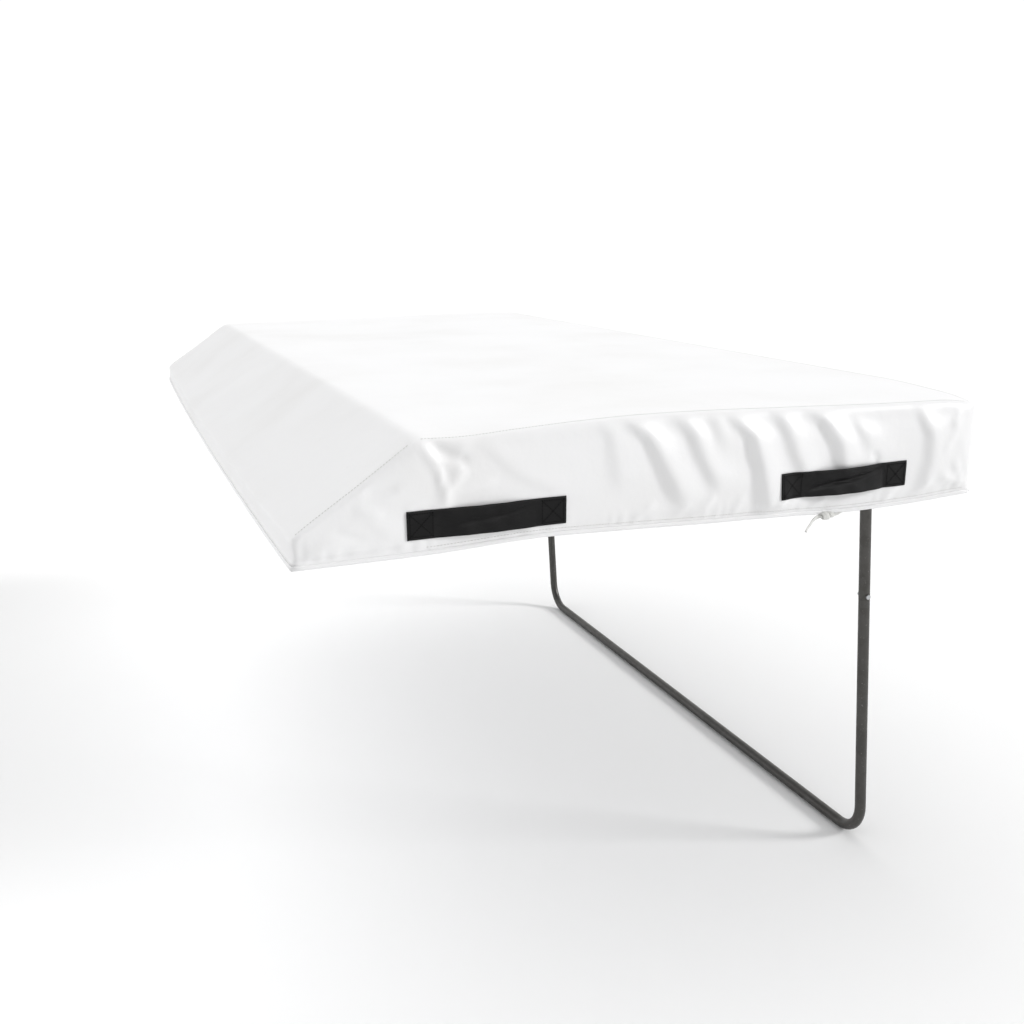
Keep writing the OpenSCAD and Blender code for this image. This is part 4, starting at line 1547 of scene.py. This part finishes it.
@dataclass
class TieTape:
    """A cotton tie tape under the mat's near edge: it leaves the hem, is knotted, and its end hangs."""

    width: float = 7.0 * MM
    thickness: float = 1.7 * MM
    wraps: float = 2.6
    route: tuple[Point, ...] = (
        (54, 3, -4), (48, 2, -5), (41, 0, -8), (34, -2, -11), (27, -4, -13), (20, -6, -14),
        (14, -6, -14), (7, -6, -14), (0, -6, -14), (-7, -6, -14), (-14, -6, -14), (-20, -6, -15),
        (-26, -7, -18), (-31, -7, -22), (-36, -8, -28), (-41, -8, -34), (-46, -9, -41))

    def path(self) -> np.ndarray:
        """Runs the tape's route on one smooth curve.

        Returns:
            Its points, in metres.
        """
        low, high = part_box("tie_knot")
        start = np.array(((low[0] + high[0]) / 2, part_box("mat_base")[0][1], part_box("mat_base")[0][2]))
        points = np.array(self.route) * MM + start
        at = np.arange(len(points), dtype=float)
        fine = np.linspace(0, len(points) - 1, 40)
        return np.stack([through(fine, at, points[:, k]) for k in range(3)], axis=1)

    def knot(self) -> bpy.types.Object:
        """Builds the knot as wraps of the same tape, thickened where they cross.

        Returns:
            The knot.
        """
        low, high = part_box("tie_knot")
        centre, reach = (np.array(low) + np.array(high)) / 2, (high[0] - low[0]) / 2
        turns = np.linspace(0, self.wraps * 2 * math.pi, 70)
        share = turns / turns[-1] * 2 - 1
        girth = 6.4 * MM * (1 - 0.35 * np.abs(share) ** 3)
        spin = np.stack([np.zeros_like(turns), np.cos(turns), np.sin(turns)], axis=1)
        path = centre + spin * girth[:, None]
        path[:, 0] += share * (reach - 4 * MM) + np.sin(turns * 0.5) * 2 * MM
        return swept("tie_knot_wraps", path, strip_section(9.5 * MM, 3.6 * MM, 7), Finish.TAPE, lift=spin)

    def build(self) -> None:
        path = self.path()
        t = np.linspace(0, 1, len(path))
        turn = 0.9 * np.sin(t * 5.0)
        lift = np.stack([np.zeros_like(t), -np.cos(turn), np.sin(turn) + 0.35], axis=1)
        tape = swept("tie_tape_woven", path, strip_section(self.width, self.thickness, 7), Finish.TAPE,
                     lift=lift)
        knot = self.knot()
        hand_in(tape, Part.MAT, "white_tape", "tie_tape")
        hand_in(knot, Part.MAT, "white_tape", "tie_knot")
        float(lengthwise(path)[-1])


def block(name: str, centre: Point, size: Point, finish: Finish) -> bpy.types.Object:
    """Makes a plain block, to be bevelled.

    Args:
        name: The piece's name.
        centre: Its middle.
        size: Its size along each axis.
        finish: Its finish.

    Returns:
        The block.
    """
    ends = np.array([[-1, -1, -1], [1, -1, -1], [1, 1, -1], [-1, 1, -1],
                     [-1, -1, 1], [1, -1, 1], [1, 1, 1], [-1, 1, 1]]) / 2
    faces = [(3, 2, 1, 0), (4, 5, 6, 7), (0, 1, 5, 4), (1, 2, 6, 5), (2, 3, 7, 6), (3, 0, 4, 7)]
    return piece(name, ends * np.array(size) + np.array(centre), faces, finish, smooth=False)


def prism(name: str, outline: Sequence[tuple[float, float]], x0: float, x1: float,
          finish: Finish) -> bpy.types.Object:
    """Draws an outline in Y and Z out along X.

    Args:
        name: The piece's name.
        outline: The outline's points.
        x0: Where the plate starts.
        x1: Where it ends.
        finish: Its finish.

    Returns:
        The plate.
    """
    n = len(outline)
    verts = [(x, y, z) for x in (x0, x1) for y, z in outline]
    faces = [tuple(range(n)), tuple(range(2 * n - 1, n - 1, -1))]
    faces += [(i, (i + 1) % n, n + (i + 1) % n, n + i) for i in range(n)]
    obj = piece(name, verts, faces, finish, smooth=False)
    face_out(obj)
    return obj


def holed(name: str, outer: Sequence[tuple[float, float]], hole: Sequence[tuple[float, float]],
          x0: float, x1: float, finish: Finish) -> bpy.types.Object:
    """Draws an outline with a hole in it out along X.

    Args:
        name: The piece's name.
        outer: The outline's points.
        hole: The hole's points, as many as the outline's and starting on the same side.
        x0: Where the plate starts.
        x1: Where it ends.
        finish: Its finish.

    Returns:
        The plate.
    """
    n = len(outer)
    verts = [(x, y, z) for x in (x0, x1) for y, z in (*outer, *hole)]
    faces = []
    for i in range(n):
        j = (i + 1) % n
        faces.append((i, j, n + j, n + i))
        faces.append((2 * n + i, 3 * n + i, 3 * n + j, 2 * n + j))
        faces.append((i, 2 * n + i, 2 * n + j, j))
        faces.append((n + i, n + j, 3 * n + j, 3 * n + i))
    obj = piece(name, verts, faces, finish, smooth=False)
    face_out(obj)
    return obj


def joined(name: str, objs: Sequence[bpy.types.Object]) -> bpy.types.Object:
    """Makes one object of several that share a finish.

    Args:
        name: The new object's name.
        objs: The objects, which are used up.

    Returns:
        The new object.
    """
    work = bmesh.new()
    for obj in objs:
        work.from_mesh(obj.data)
    mesh = bpy.data.meshes.new(name)
    work.to_mesh(mesh)
    work.free()
    mesh.materials.append(objs[0].data.materials[0])
    mesh.polygons.foreach_set("use_smooth", [True] * len(mesh.polygons))
    for obj in objs:
        bpy.data.objects.remove(obj)
    return placed(name, mesh)


@dataclass
class DeckFrame:
    """The deck under the mat: welded rails and ribs, strapped across, with hooks and hinge brackets."""

    bays: int = 4
    straps_per_bay: int = 3
    strap_width: float = 0.050
    strap_thickness: float = 2.2 * MM
    strap_gap: float = 0.1 * MM
    strap_sag: float = 0.004
    lap_start: float = 0.16
    lap_length: float = 0.085
    sewing_inset: float = 6 * MM
    bead: float = 2.4 * MM

    def __post_init__(self) -> None:
        """Reads the rails' places and sizes from the frame."""
        self.rails = []
        for node in ("inner_rail", "outer_rail"):
            low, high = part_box(node)
            self.rails.append((low[0] + high[0]) / 2)
        self.rail_r = (high[2] - low[2]) / 2
        self.z = (high[2] + low[2]) / 2
        low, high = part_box("side_rail_far")
        self.leg_y = (low[1] + high[1]) / 2
        low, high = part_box("deck_ribs")
        self.rib_r = (high[2] - low[2]) / 2

    def loop(self, y: float) -> tuple[np.ndarray, np.ndarray]:
        """Runs a strap round both rails.

        Args:
            y: The middle of the strap.

        Returns:
            Its route and, at each point, its outward direction.
        """
        r = self.rail_r + self.strap_gap + self.strap_thickness / 2
        x_in, x_out = self.rails
        path, lift = [], []
        for start, end, way, first in ((x_in, x_out, 1, 90), (x_out, x_in, -1, 270)):
            for x in np.linspace(start, end, 24):
                path.append((x, y, self.z + way * r - (self.sag(x) if way < 0 else 0.0)))
                lift.append((0, 0, way))
            for a in np.radians(np.linspace(first, first - 180, 14)[1:-1]):
                path.append((end + r * math.cos(a), y, self.z + r * math.sin(a)))
                lift.append((math.cos(a), 0, math.sin(a)))
        return np.array(path), np.array(lift, float)

    def sag(self, x: Union[float, np.ndarray]) -> Union[float, np.ndarray]:
        """How far the lower run of a strap hangs down at a place between the rails."""
        return self.strap_sag * np.sin(math.pi * (x - self.rails[0]) / (self.rails[1] - self.rails[0]))

    def straps(self) -> None:
        """Builds the woven straps, each with its sewn lap on the lower run."""
        bay = 2 * self.leg_y / self.bays
        pitch = bay / (self.straps_per_bay + 1)
        loops, laps, rows = [], [], []
        for b in range(self.bays):
            for s in range(1, self.straps_per_bay + 1):
                y = -self.leg_y + b * bay + s * pitch
                path, lift = self.loop(y)
                section = strip_section(self.strap_width, self.strap_thickness, 9)
                loops.append(swept(f"strap_{b}_{s}", path, section, Finish.STRAP, True, lift))
                shift = 0.03 * math.sin(b * 3.1 + s * 1.7)
                x0 = self.rails[0] + self.lap_start + shift
                at = np.linspace(x0, x0 + self.lap_length, 9)
                low = self.z - self.rail_r - self.strap_gap - self.strap_thickness - self.sag(at)
                lap_path = np.stack([at, np.full_like(at, y), low - self.strap_thickness / 2], axis=1)
                laps.append(swept(f"lap_{b}_{s}", lap_path, section, Finish.STRAP, lift=(0.0, 0.0, -1.0)))
                rows += self.lap_rows(x0, y, float(low.mean()) - self.strap_thickness)
        hand_in(joined("deck_straps_woven", loops + laps), Part.DECK, "deck_webbing", "deck_straps")
        Stitching(6 * MM, 4.5 * MM, 1.2 * MM, 0.2, Finish.THREAD).sew(
            "strap_lap_stitches", rows, Part.DECK, "deck_webbing")

    def lap_rows(self, x0: float, y: float, z: float) -> list[Row]:
        """Lays out the boxed cross that closes a strap's lap.

        Args:
            x0: Where the lap starts.
            y: The middle of the strap.
            z: The height of the lap's lower face.

        Returns:
            The rows of the cross.
        """
        inset = self.sewing_inset
        lines = boxed_cross(x0 + inset, x0 + self.lap_length - inset, self.strap_width / 2 - inset)
        down = Vector((0, 0, -1))
        return [[(Vector((u0 + (u1 - u0) * k, y + w0 + (w1 - w0) * k, z)), down)
                 for k in np.linspace(0, 1, 8)] for (u0, w0), (u1, w1) in lines]

    def weld(self, name: str, path: np.ndarray, closed: bool, lift: Sequence) -> bpy.types.Object:
        """Lays one weld bead with the ripples of its runs.

        Args:
            name: The bead's name.
            path: The line that it follows.
            closed: Whether that line is a loop.
            lift: Its upward direction, one for all points or one for each.

        Returns:
            The bead.
        """
        along = lengthwise(path)
        ripple = 1 + 0.13 * np.abs(np.sin(along * 700)) + 0.07 * np.sin(along * 61)
        return swept(name, path, round_section(self.bead, 7), Finish.WELD, closed, lift, ripple)

    def saddle_welds(self) -> list[bpy.types.Object]:
        """Lays beads where the ribs and side rails meet the two rails.

        Returns:
            The beads.
        """
        beads = []
        ribs = [(y, self.rib_r) for y in np.linspace(-self.leg_y, self.leg_y, self.bays + 1)[1:-1]]
        ribs += [(y, self.rail_r) for y in (-self.leg_y, self.leg_y)]
        for rail_x, way in zip(self.rails, (1, -1)):
            for y0, r in ribs:
                turn = np.linspace(0, 2 * math.pi, 72, endpoint=False)
                reach = (self.rail_r + 0.3 * MM) ** 2 - (r * np.sin(turn)) ** 2
                x = rail_x + way * np.sqrt(np.maximum(reach, 0))
                path = np.stack([x, y0 + r * np.cos(turn), self.z + r * np.sin(turn)], axis=1)
                lift = np.stack([np.full_like(turn, way * 0.8), np.cos(turn), np.sin(turn)], axis=1)
                beads.append(self.weld(f"bead_{len(beads)}", path, True, lift))
        return beads

    def hook_welds(self) -> list[bpy.types.Object]:
        """Lays beads where each hook's arm meets the inner rail and the saddle.

        Returns:
            The beads.
        """
        beads = []
        reach = math.hypot(self.rails[0], self.z)
        ux, uz = self.rails[0] / reach, self.z / reach
        hook_low, hook_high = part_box("hook_near")
        half_arm = 4 * MM
        saddle = -hook_low[0]
        for side in Side:
            y_mid = -side.value * (hook_low[1] + hook_high[1]) / 2
            ys = np.linspace(y_mid - 0.029, y_mid + 0.029, 40)
            for along in (reach - self.rail_r - 1 * MM, saddle + 1 * MM):
                for across in (half_arm + 1 * MM, -half_arm - 1 * MM):
                    x, z = ux * along - uz * across, uz * along + ux * across
                    path = np.stack([np.full_like(ys, x), ys, np.full_like(ys, z)], axis=1)
                    beads.append(self.weld(f"hook_bead_{len(beads)}", path, False, (0.0, 0.0, 1.0)))
        return beads

    def bracket_welds(self) -> list[bpy.types.Object]:
        """Lays beads where the hinge brackets' lugs meet the outer rail.

        Returns:
            The beads.
        """
        beads = []
        low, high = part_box("hinge_bracket_far")
        for side in Side:
            for y in (low[1] - 0.5 * MM, high[1] + 0.5 * MM):
                turn = np.radians(np.linspace(-38, -142, 36))
                r = self.rail_r + 0.6 * MM
                path = np.stack([self.rails[1] + r * np.cos(turn), np.full_like(turn, side.value * y),
                                 self.z + r * np.sin(turn)], axis=1)
                beads.append(self.weld(f"lug_bead_{len(beads)}", path, False, (0.0, 1.0, 0.0)))
        return beads

    def build(self) -> None:
        """Builds the straps and welds."""
        self.straps()
        beads = self.saddle_welds() + self.hook_welds() + self.bracket_welds()
        hand_in(joined("deck_weld_beads", beads), Part.DECK, "galvanised_steel")

    def dress(self) -> None:
        """Finishes the deck's own nodes."""
        dress(Finish.TUBE, "inner_rail", "outer_rail", "side_rail_near", "side_rail_far", "deck_ribs",
              "hook_near", "hook_far", "hinge_bracket_near", "hinge_bracket_far")
        dress(Finish.KEEPER, "keeper_near", "keeper_far")
        dress(Finish.PLASTIC, "rail_end_caps")
        dress(Finish.RUBBER, "hook_liner_near", "hook_liner_far")
        dress(Finish.ZINC, "keeper_screws", "hinge_bolts", "hinge_nuts")
        dress(Finish.NYLON, "hinge_washers")


@dataclass
class Stand:
    """The folding U-shaped stand: two legs, spigot joints and a floor bar in one bent tube."""

    def dress(self) -> None:
        """Finishes the stand's nodes."""
        dress(Finish.TUBE, "leg_near", "leg_far", "spigot_near", "spigot_far", "stand_base")
        dress(Finish.ZINC, "leg_bushes", "spigot_bolts", "spigot_nuts")
        dress(Finish.PLASTIC, "leg_top_plugs")


# ---------------------------------------------------------------- camera, light and floor

@dataclass
class Studio:
    """The camera, the floor and the soft light."""

    eye: Point = (-0.8145, -3.1656, 0.6195)
    turn: float = 19.98
    tilt: float = 13.99
    roll: float = -1.12
    lens: float = 40.08
    sensor: float = 36.0
    floor_reach: float = 60.0

    def camera(self) -> None:
        """Places the camera at its height and angle to the deck's near corner."""
        data = bpy.data.cameras.new("camera")
        data.lens = self.lens
        data.sensor_width = self.sensor
        data.clip_end = 200
        made = placed("camera", data)
        yaw, pitch, roll = (math.radians(a) for a in (self.turn, self.tilt, self.roll))
        ahead = Vector((math.sin(yaw) * math.cos(pitch), math.cos(yaw) * math.cos(pitch), -math.sin(pitch)))
        right = Vector((math.cos(yaw), -math.sin(yaw), 0))
        up = right.cross(ahead)
        turned = math.cos(roll) * right + math.sin(roll) * up
        upright = -math.sin(roll) * right + math.cos(roll) * up
        axes = Matrix((turned, upright, -ahead)).transposed().to_4x4()
        made.matrix_world = Matrix.Translation(Vector(self.eye)) @ axes
        bpy.context.scene.camera = made

    def floor(self) -> None:
        """Lays a plain pale floor under the stand."""
        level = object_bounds()[0][2]
        r = self.floor_reach
        mesh = bpy.data.meshes.new("floor")
        mesh.from_pydata([(-r, -r, level), (r, -r, level), (r, r, level), (-r, r, level)], [], [(0, 1, 2, 3)])
        floor = placed("floor", mesh)
        t = ShaderTree("floor")
        tone = t.noise(t.object_place(), 1.5, 3.0) * 0.02
        mesh.materials.append(t.finish(
            {"Specular IOR Level": 0.1, "Roughness": 0.8},
            {"Base Color": t.blend(tone, (0.90, 0.90, 0.90), (0.84, 0.84, 0.84))}))
        floor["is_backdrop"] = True

    def sun(self, name: str, way: Point, spread: float, power: float) -> None:
        """Adds one broad, even light.

        Args:
            name: The light's name.
            way: The direction that it comes from.
            spread: Its apparent width in degrees, which softens its shadows.
            power: Its strength.
        """
        data = bpy.data.lights.new(name, "SUN")
        data.angle = math.radians(spread)
        data.energy = power
        made = placed(name, data)
        made.rotation_euler = Vector(way).to_track_quat("Z", "Y").to_euler()

    def surround(self) -> None:
        """Sets a pale surround that is brighter behind the deck than in front of it."""
        world = bpy.data.worlds.new("surround")
        world.use_nodes = True
        t = NodeTree(world.node_tree)
        way = t.node("ShaderNodeTexCoord", None, None, "Generated")
        depth = t.node("ShaderNodeSeparateXYZ", None, {0: way}, "Y")
        behind = depth.above(0.05, 0.30)
        light = t.node("ShaderNodeBackground", None, {
            "Color": (1.0, 1.0, 1.0, 1.0), "Strength": behind * 0.60 + 0.45})
        t.node("ShaderNodeOutputWorld", None, {"Surface": light})
        bpy.context.scene.world = world

    def light(self) -> None:
        """Lights the deck from above and outboard."""
        self.surround()
        self.sun("key", (0.80, -0.45, 0.42), 14, 2.0)
        self.sun("overhead", (-0.50, 0.0, 0.87), 70, 0.80)
        bpy.context.scene.view_settings.view_transform = "Standard"

    def build(self) -> None:
        """Sets up everything that isn't part of the deck."""
        self.camera()
        self.floor()
        self.light()


def main() -> None:
    """Builds and dresses the deck, piece by piece."""
    logging.basicConfig(level=logging.INFO, format="%(relativeCreated)6d ms %(message)s")
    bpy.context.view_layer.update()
    Studio().build()
    TieTape().build()
    mat = Mat()
    mat.build()
    handles = (Handle("handle_near_inner", Side.NEAR, 0.005, 0.30, seed=1),
               Handle("handle_near_outer", Side.NEAR, 0.010, 0.9, seed=2),
               Handle("handle_far_inner", Side.FAR, 0.015, 0.6, seed=3),
               Handle("handle_far_outer", Side.FAR, 0.010, 0.45, seed=4))
    for handle in handles:
        handle.build(mat.surface)
    ZipFastener().build(mat.surface)
    deck = DeckFrame()
    deck.build()
    deck.dress()
    Stand().dress()


if __name__ == "__main__":
    main()
